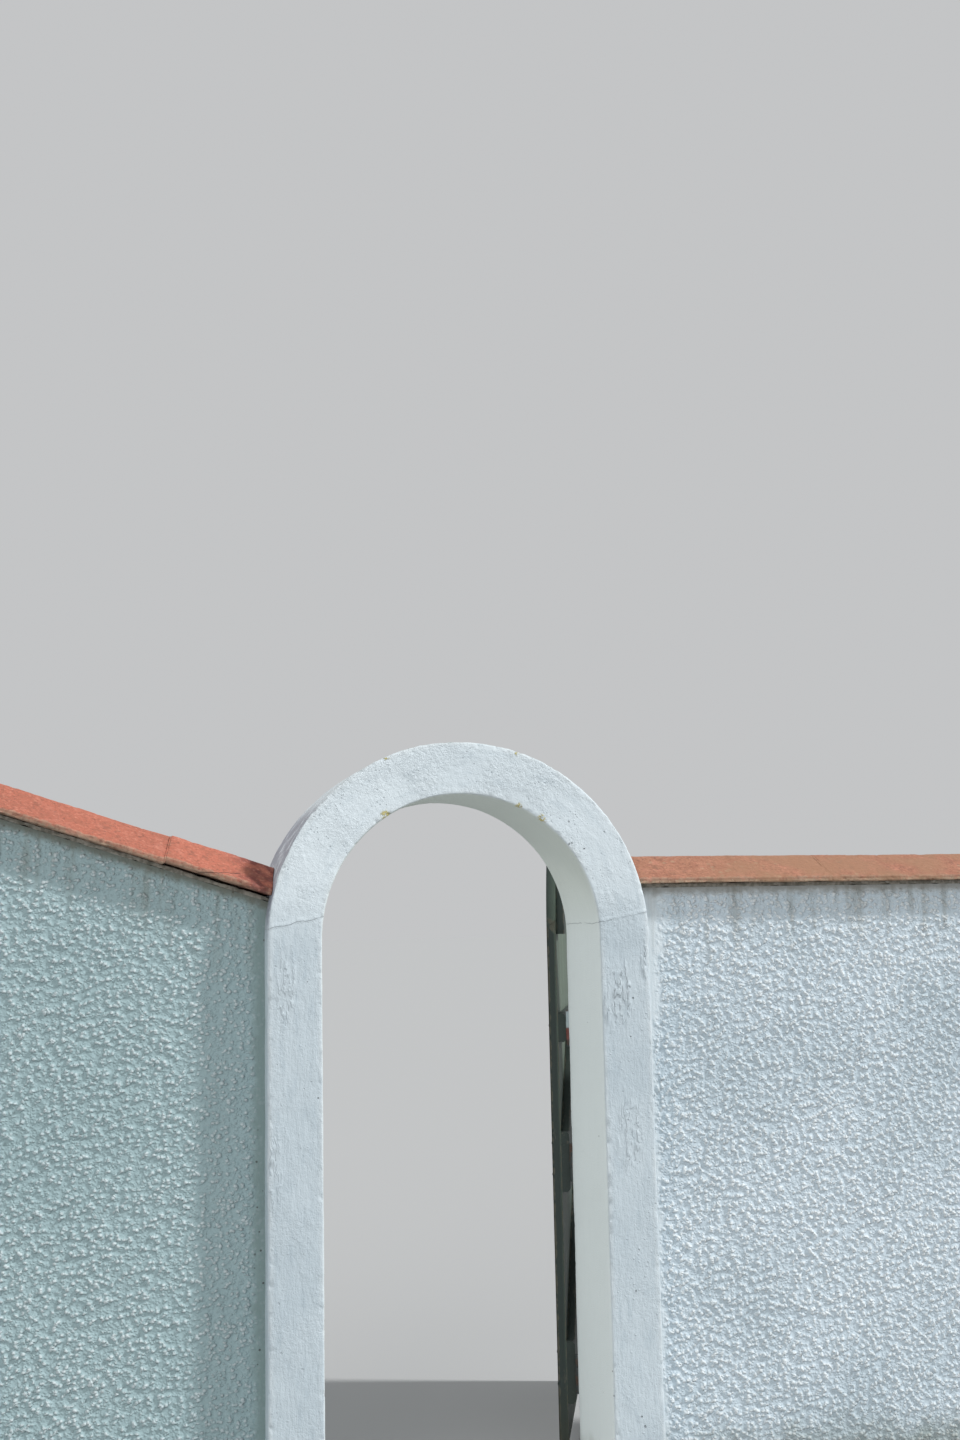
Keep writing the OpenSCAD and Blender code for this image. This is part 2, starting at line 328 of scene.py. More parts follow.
class Shader(Graph):
    """Material tree with one Principled shader, whose colour is laid on in coats."""

    def __init__(self, name, colour, **constants):
        self.material = bpy.data.materials.new(name)
        self.material.use_nodes = True
        super().__init__(self.material.node_tree)
        self.colour = colour
        self.shader = self.tree.nodes["Principled BSDF"]
        for key, value in constants.items():
            self.shader.inputs[key.replace("_", " ")].default_value = value
        self.place = self.add("ShaderNodeTexCoord", out="Object")

    def attribute(self, name, vector=False):
        return self.add("ShaderNodeAttribute", {"attribute_name": name}, out="Vector" if vector else "Fac")

    def coat(self, share, colour):
        """Lays a colour over what is there, by a share from 0 to 1."""
        self.colour = self.mix(share, self.colour, colour)

    def finish(self, roughness=None, height=None):
        """Ends the tree. Height is in metres."""
        ends = {"Base Color": self.colour, "Roughness": roughness}
        if height:
            terms = {"Strength": 1.0, "Distance": 1.0, "Height": height}
            ends["Normal"] = self.add("ShaderNodeBump", {}, terms)
        for key, value in ends.items():
            if value:
                self.tree.links.new(value.socket, self.shader.inputs[key])
        return self.material


class Shape(Graph):
    """Geometry tree with named inputs, for use as a modifier."""

    def __init__(self, name, **inputs):
        """Each input is a number's default, or the kind of its socket."""
        super().__init__(bpy.data.node_groups.new(name, "GeometryNodeTree"))
        face = self.tree.interface
        face.new_socket("Geometry", in_out="OUTPUT", socket_type="NodeSocketGeometry")
        for key, value in {"Geometry": "Geometry", **inputs, "Material": "Material"}.items():
            kind = value if isinstance(value, str) else "Float"
            socket = face.new_socket(key.replace("_", " "), in_out="INPUT", socket_type="NodeSocket" + kind)
            if kind == "Float":
                socket.default_value = value
        start = self.tree.nodes.new("NodeGroupInput")
        self.given = {s.name: Val(self, s) for s in start.outputs if s.name}
        self.place = self.add("GeometryNodeInputPosition")

    def attribute(self, name, vector=False):
        kind = "FLOAT_VECTOR" if vector else "FLOAT"
        return self.add("GeometryNodeInputNamedAttribute", {"data_type": kind}, {"Name": name})

    def pushed(self, push):
        """The carrier with its points moved outwards."""
        offset = self.scaled(self.attribute("out", True), push)
        terms = {"Geometry": self.given["Geometry"], "Offset": offset}
        return self.add("GeometryNodeSetPosition", {}, terms)

    def store(self, geometry, name, value):
        terms = {"Geometry": geometry, "Name": name, "Value": value}
        return self.add("GeometryNodeStoreNamedAttribute", {"data_type": "FLOAT", "domain": "POINT"}, terms)

    def finish(self, geometry):
        whole = self.add("GeometryNodeRealizeInstances", {}, {"Geometry": geometry})
        terms = {"Geometry": whole, "Material": self.given["Material"]}
        done = self.add("GeometryNodeSetMaterial", {}, terms)
        end = self.tree.nodes.new("NodeGroupOutput")
        self.tree.links.new(done.socket, end.inputs["Geometry"])
        return self


# Meshes


def placed(name, data):
    """New object in the scene."""
    obj = bpy.data.objects.new(name, data)
    bpy.context.scene.collection.objects.link(obj)
    return obj


def mesh_object(name, points, faces, attributes=None):
    """New object whose faces point outwards, with point attributes."""
    mesh = bpy.data.meshes.new(name)
    mesh.from_pydata(np.asarray(points).tolist(), [], faces)
    mesh.update()
    mesh.validate()
    if signed_volume(mesh) < 0:
        mesh.flip_normals()
    for key, values in (attributes or {}).items():
        values = np.asarray(values, np.float32)
        vector = values.ndim == 2
        layer = mesh.attributes.new(key, "FLOAT_VECTOR" if vector else "FLOAT", "POINT")
        layer.data.foreach_set("vector" if vector else "value", values.ravel())
    return placed(name, mesh)


def signed_volume(mesh):
    mesh.calc_loop_triangles()
    corners = np.zeros(len(mesh.loop_triangles) * 3, np.int32)
    mesh.loop_triangles.foreach_get("vertices", corners)
    points = np.zeros(len(mesh.vertices) * 3)
    mesh.vertices.foreach_get("co", points)
    a, b, c = points.reshape(-1, 3)[corners.reshape(-1, 3)].transpose(1, 0, 2)
    return float(np.einsum("ij,ij->", a, np.cross(b, c)))


def baked(carrier):
    """The carrier with its modifiers applied, as a plain mesh object in its place."""
    graph = bpy.context.evaluated_depsgraph_get()
    mesh = bpy.data.meshes.new_from_object(carrier.evaluated_get(graph))
    name = carrier.name
    bpy.data.objects.remove(carrier)
    return placed(name, mesh)


def shaped(carrier, shape, material, **inputs):
    """Runs a geometry tree on a carrier and returns the result as a plain mesh object."""
    modifier = carrier.modifiers.new("shape", "NODES")
    modifier.node_group = shape.tree
    given = {key.replace("_", " "): value for key, value in inputs.items()}
    given["Material"] = material
    for item in shape.tree.interface.items_tree:
        if item.in_out == "INPUT" and item.name in given:
            modifier[item.identifier] = given[item.name]
    obj = baked(carrier)
    if not obj.data.materials:
        obj.data.materials.append(material)
    return obj


def dressed(obj, angle, body, slot, *nodes):
    """Shades a piece smooth up to an angle in degrees, rides it on its body and hides the frame nodes
    that it stands for. The slot is not used."""
    obj.data.shade_smooth()
    obj.data.set_sharp_from_angle(angle=math.radians(angle))
    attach(obj, body)
    if nodes:
        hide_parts(*nodes)


def walk(corners, cell, radii, steps):
    """Points along an open line through corners, with rounded corners and even cells between."""
    corners = [np.array(c, float) for c in corners]
    line = [corners[0]]
    for before, here, after, radius in zip(corners, corners[1:], corners[2:], radii[1:]):
        back, on = before - here, after - here
        back_l, on_l = np.linalg.norm(back), np.linalg.norm(on)
        reach = min(radius, 0.45 * back_l, 0.45 * on_l)
        if reach <= 0:
            line.append(here)
            continue
        start, end = here + back / back_l * reach, here + on / on_l * reach
        for t in np.linspace(0, 1, steps + 1):
            line.append((1 - t) ** 2 * start + 2 * t * (1 - t) * here + t**2 * end)
    line.append(corners[-1])
    points = [line[0]]
    for a, b in zip(line, line[1:]):
        count = max(1, round(np.linalg.norm(b - a) / cell))
        points += [a + (b - a) * k / count for k in range(1, count + 1)]
    return np.array(points)


def padded_to(line, count):
    """The same line with more points, put in its longest steps."""
    line = list(line)
    while len(line) < count:
        steps = [np.linalg.norm(b - a) for a, b in zip(line, line[1:])]
        k = int(np.argmax(steps))
        line.insert(k + 1, (line[k] + line[k + 1]) / 2)
    return np.array(line)


def loop_of(under, over):
    """Closed loop along one line and back along another, both with as many points."""
    count = max(len(under), len(over))
    return np.vstack([padded_to(under, count), padded_to(over, count)[1:-1][::-1]])


def loop_edges(loop, reach=0.010):
    """1 at the arrises of a closed loop, 0 on its flats."""
    before, after = loop - np.roll(loop, 1, 0), np.roll(loop, -1, 0) - loop
    cross = before[:, 0] * after[:, 1] - before[:, 1] * after[:, 0]
    turn = np.abs(np.arctan2(cross, (before * after).sum(1)))
    apart = np.linalg.norm(loop[:, None] - loop[None], axis=2)
    return np.clip((np.exp(-((apart / reach) ** 2)) * turn[None]).sum(1) / 1.2, 0, 1)


def rings_of(place, steps):
    """Rings of points, one for each step, for which place gives the x, y and z."""
    return np.stack([np.stack(np.broadcast_arrays(*place(step)), -1) for step in steps])


def ring_faces(index):
    """Faces between rings of points, whose numbers are the rows of index."""
    nxt = np.roll(index, -1, 1)
    return np.stack([index[:-1], nxt[:-1], nxt[1:], index[1:]], -1).reshape(-1, 4).tolist()


def end_faces(index):
    """The first and the last ring, each as one face."""
    return [index[0][::-1].tolist(), index[-1].tolist()]


def loft(name, rings, attributes, halved=False):
    """Closed skin over rings of points (count, points, 3), with outward directions in 'out'.

    Each end is one flat face, or a strip of faces across the ring where halved.
    """
    count, size = rings.shape[:2]
    index = np.arange(count * size).reshape(count, size)
    faces = ring_faces(index)
    if halved:
        for ring, flip in ((index[0], True), (index[-1], False)):
            for k in range(size // 2):
                face = [ring[k], ring[k + 1], ring[(size - k - 1) % size], ring[(size - k) % size]]
                face = list(dict.fromkeys(int(i) for i in face))
                if len(face) > 2:
                    faces.append(face[::-1] if flip else face)
    else:
        faces += end_faces(index)
    along = np.gradient(rings, axis=0)
    around = np.roll(rings, -1, 1) - np.roll(rings, 1, 1)
    out = np.cross(around, along)
    out /= np.maximum(np.linalg.norm(out, axis=2, keepdims=True), 1e-12)
    if ((rings - rings.mean(1, keepdims=True)) * out).sum() < 0:
        out = -out
    given = {"out": out.reshape(-1, 3)}
    for key, values in attributes.items():
        depth = np.shape(values)[2:]
        given[key] = np.broadcast_to(values, (count, size) + depth).reshape((-1,) + depth)
    return mesh_object(name, rings.reshape(-1, 3), faces, given)


# Settings


def size(name, text, default, low, high):
    return FloatProperty(name=name, description=text, default=default, min=low, max=high,
                         subtype="DISTANCE", unit="LENGTH")


def paint(name, text, colour):
    return FloatVectorProperty(name=name, description=text, default=colour, size=3, min=0, max=1,
                               subtype="COLOR")


class GatewaySizes(bpy.types.PropertyGroup):
    """Sizes of the relief and of the fixings."""

    wall_cell: size("Wall cell", "Mesh cell on the street faces of the walls", 0.0059, 0.005, 0.02)
    garden_cell: size("Garden cell", "Mesh cell on the garden faces of the walls", 0.0092, 0.005, 0.03)
    dab: size("Dab size", "Pitch of the roughcast dabs", 0.0122, 0.006, 0.03)
    dab_relief: size("Dab relief", "Height of the roughcast dabs", 0.0078, 0.0, 0.012)
    wall_margin: size("Smooth margin", "Width of the smooth strip beside the surround", 0.034, 0.01, 0.08)
    surround_cell: size("Surround cell", "Mesh cell on the surround", 0.0056, 0.004, 0.02)
    sway: size("Trowel sway", "Unevenness of the hand-trowelled surround", 0.0018, 0.0, 0.005)
    stipple: size("Stipple", "Relief that the trowel left on the surround", 0.0017, 0.0, 0.004)
    arris: size("Arris", "Rounding of the surround's arrises", 0.007, 0.002, 0.02)
    slab_cell: size("Slab cell", "Mesh cell on the coping slabs", 0.0075, 0.004, 0.02)
    nail: size("Nail head", "Diameter of the clenched nails' heads", 0.011, 0.005, 0.02)
    screw: size("Screw head", "Diameter of the slotted screw heads", 0.0085, 0.005, 0.02)
    seed: IntProperty(name="Seed", description="Start of every random pattern", default=7, min=0, max=99)


class GatewayColours(bpy.types.PropertyGroup):
    """Paints and finishes."""

    surround: paint("Surround paint", "Pale paint on the smooth surround", srgb(225, 235, 240))
    surround_dull: paint("Surround, dull", "The same paint where it has greyed", srgb(176, 191, 200))
    # Reveal: the surround's paint made darker and less blue, as painted shade inside the opening
    reveal: paint("Reveal", "Paint inside the opening", srgb(214, 221, 219))
    wall: paint("Wall paint", "Paint on the crests of the roughcast", srgb(231, 238, 241))
    # Hollow colour, darker than the crests: painted shade between the dabs, with dirt
    wall_hollow_dirt_and_shade: paint("Wall hollows", "Dulled paint between the dabs", srgb(203, 217, 226))
    # Raked wall colour: painted shade, darker and greener
    raked_wall_shade: paint("Raked wall", "Duller, greener paint on the raked wall", srgb(150, 176, 178))
    algae: paint("Algae", "Green growth near the ground and in damp corners", srgb(98, 108, 84))
    lichen: paint("Lichen", "Yellow lichen on the arrises", srgb(190, 176, 92))
    soot: paint("Soot", "Dark dirt in pits, cracks and runs", srgb(72, 74, 72))
    coping_left: paint("Raked coping", "Red paint on the raked slabs", srgb(184, 106, 84))
    coping_right: paint("Level coping", "Weathered paint on the level slabs", srgb(166, 117, 91))
    coping_worn: paint("Worn coping", "Bare cement at worn edges", srgb(160, 140, 120))
    mortar: paint("Mortar", "Mortar of the beds", srgb(156, 152, 142))
    # Dark green below the door's sage paint: painted shade over the whole door
    timber: paint("Timber paint", "Dark green paint on the door", srgb(36, 47, 43))
    # Sage green of the door's paint, laid on as painted sunlight
    timber_sunlit: paint("Faded timber", "Chalky green on the garden face", srgb(98, 113, 98))
    timber_bare: paint("Bare timber", "Weathered wood at worn edges", srgb(96, 92, 80))
    iron: paint("Iron paint", "Dark paint on the ironwork", srgb(44, 50, 49))
    rust: paint("Rust", "Rust on the ironwork", srgb(72, 54, 44))
    backdrop: paint("Backdrop", "Plain backdrop", (0.55, 0.557, 0.565))
    floor: paint("Floor", "Plain pale floor", (0.438, 0.441, 0.442))


# Materials


def surround_paint(colours):
    """Brushed paint: greyed, cratered, cracked at the springing, lichened on the arch."""
    g = Shader("surround_paint", colours.surround, IOR=1.45)
    x, _, z = g.split(g.place)
    lay = g.attribute("lay", True)
    hollow, edge, reveal = map(g.attribute, ("hollow", "edge", "reveal"))
    face = 1.0 - reveal * 0.85
    streak = g.noise(g.stretched(lay, 1.0, 1.0, 0.22), 0.020, 3.0)
    band = g.between(z, SPRING_Z - 0.05, SPRING_Z + 0.20)
    # Dull patches and streaks, fewer on the arch band, and the jambs darker than the arch band below the
    # springing line
    g.coat(g.patches(0.33, 3.0, 0.40, 0.66) * (0.40 - band * 0.22), colours.surround_dull)
    g.coat((1.0 - band) * 0.50, colours.surround_dull)
    g.coat(g.between(streak, 0.50, 0.72) * (0.40 - band * 0.16), colours.surround_dull)
    # Reveal darker and less blue than the face as painted shade, and greener up the vault as painted green
    # bounce light
    g.coat(reveal * 0.85, g.mix(band * 0.6, colours.reveal, srgb(204, 210, 196)))
    # Brighter arris and dulled hollows
    g.coat(edge * g.between(streak, 0.35, 0.6) * 0.35, srgb(226, 232, 233))
    g.coat(g.between(hollow, 0.55, 1.0) * 0.45 * face, srgb(150, 164, 172))
    # Small craters, most on the lower right jamb, pinholes, and specks of dirt
    right = g.between(x, GATE_X, RIGHT_FOOT_X - SURROUND_W)
    apart = g.cells(g.warped(g.place, 0.010, 0.0022), PIT_PITCH) + g.uneven(0.05, 1.0, 0.12)
    pits = g.between(apart, 0.095, 0.040) * g.patches(0.13, 2.0, 0.42, 0.56)
    pits = pits * (0.35 + right * 0.65) * face
    specks = g.dots(0.060, 0.050, 0.032, g.shifted(g.place, 3.1, 0.0, 1.7))
    specks = specks * g.patches(0.16, 2.0, 0.50, 0.62)
    pinholes = g.dots(0.0135, 0.200, 0.090, g.shifted(g.place, 0.7, 0.0, 2.9))
    pinholes = pinholes * g.patches(0.07, 3.0, 0.44, 0.60) * (0.35 + band * 0.65) * face
    g.coat(pits * 0.65, srgb(104, 112, 118))
    g.coat(pinholes * 0.45, srgb(128, 138, 146))
    g.coat(specks * 0.8, colours.soot)
    # Hairline cracks above the springing line, sloping up to the right
    beyond = g.level_side() * (OPENING_R * 2 + SURROUND_W)
    off = z - (CRACK_Z + (x - LEFT_FOOT_X - beyond) * CRACK_SLOPE) + g.uneven(0.035, 4.0, 0.014)
    crack = g.line(off, CRACK_W) * g.patches(0.04, 2.0, 0.36, 0.52)
    hump = g.between(abs(off - 0.004), 0.010, 0.0) * face
    g.coat(crack * 0.5, srgb(118, 128, 134))
    # Grey growth on the crown, and painted shade in purple-grey on the left-facing side of the left
    # shoulder
    out_x, _, up = g.split(g.add("ShaderNodeNewGeometry", out="Normal"))
    growth = g.noise(g.place, 0.045, 6.0, 0.65)
    g.coat(g.between(up, 0.25, 0.95) * g.between(growth, 0.34, 0.64) * 0.42, srgb(140, 145, 138))
    g.coat(g.between(up, 0.5, 1.0) * g.between(growth, 0.60, 0.74) * 0.5, srgb(96, 100, 88))
    shaded_shoulder = g.between(out_x, -0.35, -0.80) * g.between(z, 1.50, 1.62) * g.between(z, 1.96, 1.84)
    shaded_shoulder = shaded_shoulder * g.between(x, LEFT_FOOT_X + 0.20, LEFT_FOOT_X + 0.12)
    g.coat(shaded_shoulder * g.between(growth, 0.26, 0.52) * 0.70, srgb(112, 112, 128))
    # Yellow lichen in a few tufts on the arrises of the arch
    ragged = g.warped(g.place, 0.010, 0.008)
    tufts = 0.0
    for turn, radius, reach in LICHEN:
        centre = (GATE_X + radius * math.cos(turn), FRONT_Y, SPRING_Z + radius * math.sin(turn))
        tufts = g.spot(ragged, centre, (reach, reach, reach), 0.5) + tufts
    tufts = (tufts * g.patches(0.006, 3.0, 0.42, 0.54)).clamp()
    g.coat(tufts * 0.85, colours.lichen)
    grime(g, colours, 0.12, 0.45)
    # Brush marks, trowel drags, stipple of the arch band, torn ridges on the jambs
    patchy = g.patches(0.15, 2.0, 0.40, 0.60)
    brush = g.noise(g.stretched(lay, 1.0, 1.0, 0.14), 0.0040) * 0.0008 * (1.0 - band * 0.5)
    drags = g.noise(g.stretched(g.warped(lay, 0.05, 0.010), 1.0, 1.0, 0.24), 0.0100, 3.0)
    drags = drags * 0.0017 * (1.0 - band * 0.6)
    blisters = g.noise(g.warped(lay, 0.02, 0.006), 0.0110, 4.0, 0.68)
    blisters = blisters * (0.0013 + patchy * 0.0015 + band * (0.0009 + patchy * 0.0023))
    pimples = g.dots(0.0190, 0.190, 0.080, g.shifted(g.place, 1.9, 0.0, 0.3))
    pimples = pimples * g.patches(0.09, 2.0, 0.42, 0.58) * (0.4 + right * 0.6) * 0.0014
    height = (brush + (drags + blisters) + torn_ridges(g, lay) * 0.0052 + pimples) * face
    height = height + g.noise(lay, 0.0034) * 0.0007 - pits * 0.0040 - pinholes * 0.0012
    height = height - crack * 0.0010 + hump * 0.0012 + tufts * 0.0016
    return g.finish(0.62 + streak * 0.2, height)


def grime(g, colours, low, strength):
    """Algae and splashed soil near the ground, thinning upwards."""
    ragged = g.split(g.place)[2] + g.uneven(0.09, 4.0, low * 1.1)
    g.coat(g.between(ragged, low, 0.0) * strength, colours.algae)


def torn_ridges(g, lay):
    """Ridges that the trowel tore up, in a few patches on the jambs."""
    bent = g.stretched(g.warped(lay, 0.04, 0.008), 1.0, 1.0, 0.12)
    ridges = g.patches(TORN_PITCH, 2.0, 0.48, 0.60, bent)
    torn = 0.0
    for x, z, half_width, half_height, strength in TORN:
        torn = g.spot(g.place, (x, FRONT_Y, z), (half_width, 0.05, half_height)) * strength + torn
    return ridges * g.patches(0.026, 2.0, 0.32, 0.48, lay) * torn


def dab_relief(g, dab):
    """Thrown roughcast as heights from 0 to about 1.2: blunt dabs in loose clumps, and their grit."""
    flat = g.stretched(g.attribute("lay", True), 0.90, 1.0, 1.0)
    bent = g.warped(flat, 0.030, 0.0040)
    clump = g.between(g.noise(bent, dab * 1.4, 1.0), 0.33, 0.55)
    dabs = g.between(g.cells(bent, dab), 0.62, 0.10)
    small = g.between(g.cells(g.warped(flat, 0.012, 0.002), dab * 0.62), 0.60, 0.14)
    coarse = dabs * (0.22 + clump * 0.66) + clump * 0.14 + g.uneven(0.060, 2.0, 0.30, flat)
    return coarse, small * (0.12 + clump * 0.14)


def thrown_part(g, margin):
    """1 on the roughcast, 0 on the smooth strip by the surround, wider below the level coping."""
    inset, drop = g.attribute("inset"), g.attribute("drop")
    wide = margin * (1.0 + g.level_side() * g.between(drop, 0.60, 0.05))
    ragged = inset / wide + g.uneven(0.04, 2.0, 1.2)
    return g.between(ragged, 0.5, 1.5) * g.between(drop, 0.002, 0.032)


def wall_paint(colours):
    """Paint on the roughcast: crests painted lighter than the hollows, pale on the level wall, and painted
    shade, duller and greener, on the raked one.
    """
    sizes = bpy.context.scene.gateway_sizes
    g = Shader("wall_paint", colours.wall_hollow_dirt_and_shade, IOR=1.45)
    lay, drop = g.attribute("lay", True), g.attribute("drop")
    coarse, grit = dab_relief(g, sizes.dab)
    thrown = thrown_part(g, sizes.wall_margin)
    # Crests painted lighter than the hollows: painted light on the dabs and painted shade between them,
    # with dirt in the hollows
    g.coat(g.between(coarse + grit, 0.15, 0.75) * thrown, colours.wall)
    g.coat(g.patches(0.45, 3.0, 0.42, 0.68) * 0.30, srgb(160, 179, 187))
    level = g.level_side()
    raked = 1.0 - level
    # Painted shade over the raked wall, darker and greener, strongest between the dabs
    g.coat(raked * (0.80 - g.between(coarse, 0.25, 0.90) * 0.40), colours.raked_wall_shade)
    # Smooth strip beside the surround: on the raked wall darker and greenish, painted shadow of the
    # surround together with algae, and specked; pale on the level one
    strip = 1.0 - thrown
    g.coat(strip * level * 0.8, colours.wall)
    g.coat(strip * raked * 0.65, srgb(120, 137, 132))
    near = g.math("MAXIMUM", strip * raked, g.patches(0.14, 2.0, 0.60, 0.70) * 0.35)
    g.coat(g.dots(0.026, 0.140, 0.095) * near * 0.85, colours.soot)
    # Brown dirt runs below the coping and a dark band right under it: dirt together with painted shade
    # under the coping's overhang
    runs = g.patches(0.030, 3.0, 0.46, 0.72, g.stretched(g.place, 1.0, 1.0, 0.10))
    g.coat(runs * g.between(drop, 0.30, 0.02) * 0.40, srgb(122, 120, 104))
    g.coat(g.between(drop + g.uneven(0.020, 3.0, 0.030), 0.034, 0.004) * 0.60, srgb(104, 98, 82))
    grime(g, colours, 0.16, 0.55)
    grain = g.noise(lay, 0.0038)
    drags = g.noise(g.stretched(lay, 1.0, 0.10, 1.0), 0.0060, 3.0)
    height = (coarse * 0.55 + grit) * thrown * sizes.dab_relief + grain * 0.0007 + drags * strip * 0.0012
    return g.finish(0.72 + grain * 0.2, height)


def coping_paint(colours):
    """Faded red paint on concrete slabs, worn pale at the edges, blotched and lichened."""
    g = Shader("coping_paint", colours.coping_left, IOR=1.45)
    x, y, z = g.split(g.place)
    level = g.level_side()
    g.coat(level, colours.coping_right)
    broad, fine = g.noise(g.place, 0.13, 4.0), g.noise(g.place, 0.014, 4.0)
    g.coat(g.between(broad, 0.38, 0.66) * 0.35, srgb(160, 96, 78))
    g.coat(g.between(fine, 0.54, 0.74) * 0.35, srgb(198, 132, 112))
    g.coat(g.attribute("tone") * 0.45, srgb(152, 92, 74))
    # Pale worn edges
    rise = g.attribute("rise") + (fine - 0.5) * 0.006
    g.coat(g.between(rise, SLAB_EDGE + 0.004, SLAB_EDGE - 0.002) * 0.35, srgb(146, 108, 88))
    lip = g.mix(level, colours.coping_worn, srgb(202, 178, 150))
    g.coat(g.between(rise, 0.0085, 0.0045) * 0.85, lip)
    g.coat(g.between(g.attribute("edge") + (fine - 0.5) * 1.5, 0.75, 1.05) * 0.55, colours.coping_worn)
    # Dark red where the cut slab meets the arch: damp growth together with the arch's painted cast shadow
    damp_and_arch_shadow = g.between(x, LEFT_FOOT_X - 0.12, LEFT_FOOT_X - 0.02) * (1.0 - level)
    g.coat(damp_and_arch_shadow * g.patches(0.05, 3.0, 0.34, 0.56) * 0.80, srgb(104, 42, 42))
    # Lichen and pale specks, more on the level slabs
    blots = g.dots(0.030, 0.30, 0.16) * g.patches(0.11, 2.0, 0.50, 0.62)
    g.coat(blots * (0.10 + level * 0.40), srgb(170, 150, 122))
    flecks = g.patches(0.0065, 3.0, 0.66, 0.74, g.warped(g.place, 0.02, 0.006))
    splash = flecks * g.patches(0.075, 2.0, 0.56, 0.66)
    g.coat(splash * (0.30 + level * 0.60), srgb(226, 218, 208))
    # Dark and pale grit, mottle, soot, and browner paint along the level slabs
    grit = g.noise(g.place, 0.0090, 5.0, 0.68)
    mottle = g.noise(g.warped(g.place, 0.05, 0.02), 0.034, 4.0, 0.6)
    g.coat(g.between(grit, 0.52, 0.66) * 0.70, srgb(118, 78, 64))
    g.coat(g.between(grit, 0.46, 0.32) * 0.50, srgb(214, 150, 128))
    g.coat(g.between(mottle, 0.50, 0.64) * 0.40, srgb(148, 94, 74))
    g.coat(g.between(mottle, 0.46, 0.34) * 0.30, srgb(200, 132, 112))
    g.coat(g.patches(0.038, 5.0, 0.58, 0.74) * 0.45, srgb(104, 74, 60))
    brown = level * g.between(x, RIGHT_FOOT_X + 0.05, RIGHT_FOOT_X + 0.40) * g.between(broad, 0.36, 0.60)
    g.coat(brown * 0.70, srgb(156, 118, 90))
    # Crack in the cut slab, nearly level across its street face
    crack_x, crack_z, slope, half = SLAB_CRACK
    off = z - (x - crack_x) * slope - crack_z + g.uneven(0.03, 3.0, 0.016)
    crack = g.line(off, SLAB_CRACK_W) * g.between(abs(x - crack_x), half, half - 0.008)
    crack = crack * g.between(y, 0.0, -0.02)
    g.coat(crack * 0.8, srgb(70, 42, 36))
    height = fine * 0.0020 + grit * 0.0014 - crack * 0.0014 + splash * 0.0005
    return g.finish(0.60 + fine * 0.3, height)


def mortar_finish(colours):
    """Rough weathered mortar."""
    g = Shader("mortar", colours.mortar, IOR=1.45)
    fine, sand = g.noise(g.place, 0.010, 4.0), g.noise(g.place, 0.0022)
    g.coat(g.between(fine, 0.35, 0.65), srgb(120, 117, 108))
    g.coat(g.patches(0.05, 3.0, 0.5, 0.68) * 0.6, srgb(86, 86, 76))
    return g.finish(0.82 + sand * 0.15, fine * 0.0012 + sand * 0.0004)


def timber_paint(colours):
    """Green gloss paint, dark as painted shade and lighter as painted sunlight up the garden face, checked
    along the grain and worn at the edges.
    """
    g = Shader("timber_paint", colours.timber, IOR=1.48)
    z = g.split(g.place)[2]
    lay, edge, sunned = g.attribute("lay", True), g.attribute("edge"), g.attribute("sunned")
    bent = g.warped(lay, 0.10, 0.011, g.stretched(lay, 0.5, 2.0, 2.0))
    grain = g.noise(g.stretched(bent, 0.030, 1.0, 0.6), 0.0042, 3.0, 0.6)
    fibre = g.noise(g.stretched(lay, 0.015, 1.0, 1.0), 0.0016)
    broad = g.noise(lay, 0.16, 3.0)
    # Painted sunlight on the garden face, falling off lower down into painted shade, with random patches
    sunlit = (sunned * g.between(z, 0.60, 1.30, 0.34, 0.86) + (broad - 0.5) * (0.2 + sunned * 0.5)).clamp()
    g.coat(sunlit, colours.timber_sunlit)
    g.coat(g.attribute("tone") * 0.25, srgb(44, 58, 55))
    g.coat(g.between(grain, 0.52, 0.72) * 0.35, srgb(38, 48, 46))
    # Bare wood at edges, checks along the grain, flaked paint, damp feet
    bare = g.between(edge + g.uneven(0.020, 4.0, 1.5, lay), 0.80, 1.05)
    g.coat(bare * 0.7, colours.timber_bare)
    check = g.between(grain, 0.70, 0.76) * g.patches(0.06, 2.0, 0.48, 0.60, lay)
    g.coat(check * 0.8, srgb(26, 24, 20))
    flaked = g.between(g.noise(g.stretched(bent, 0.20, 1.0, 1.0), 0.020, 4.0, 0.65), 0.61, 0.67)
    flaked = flaked * g.patches(0.14, 2.0, 0.48, 0.60, lay)
    g.coat(flaked * 0.65, colours.timber_bare)
    g.coat(g.between(z + g.uneven(0.05, 4.0, 0.20), 0.24, 0.05) * 0.6, srgb(52, 56, 44))
    height = (1.0 - grain) * 0.0012 + fibre * 0.0003 - check * 0.0014 - (bare + flaked) * 0.0004
    return g.finish(0.50 + broad * 0.25 + bare * 0.2, height)


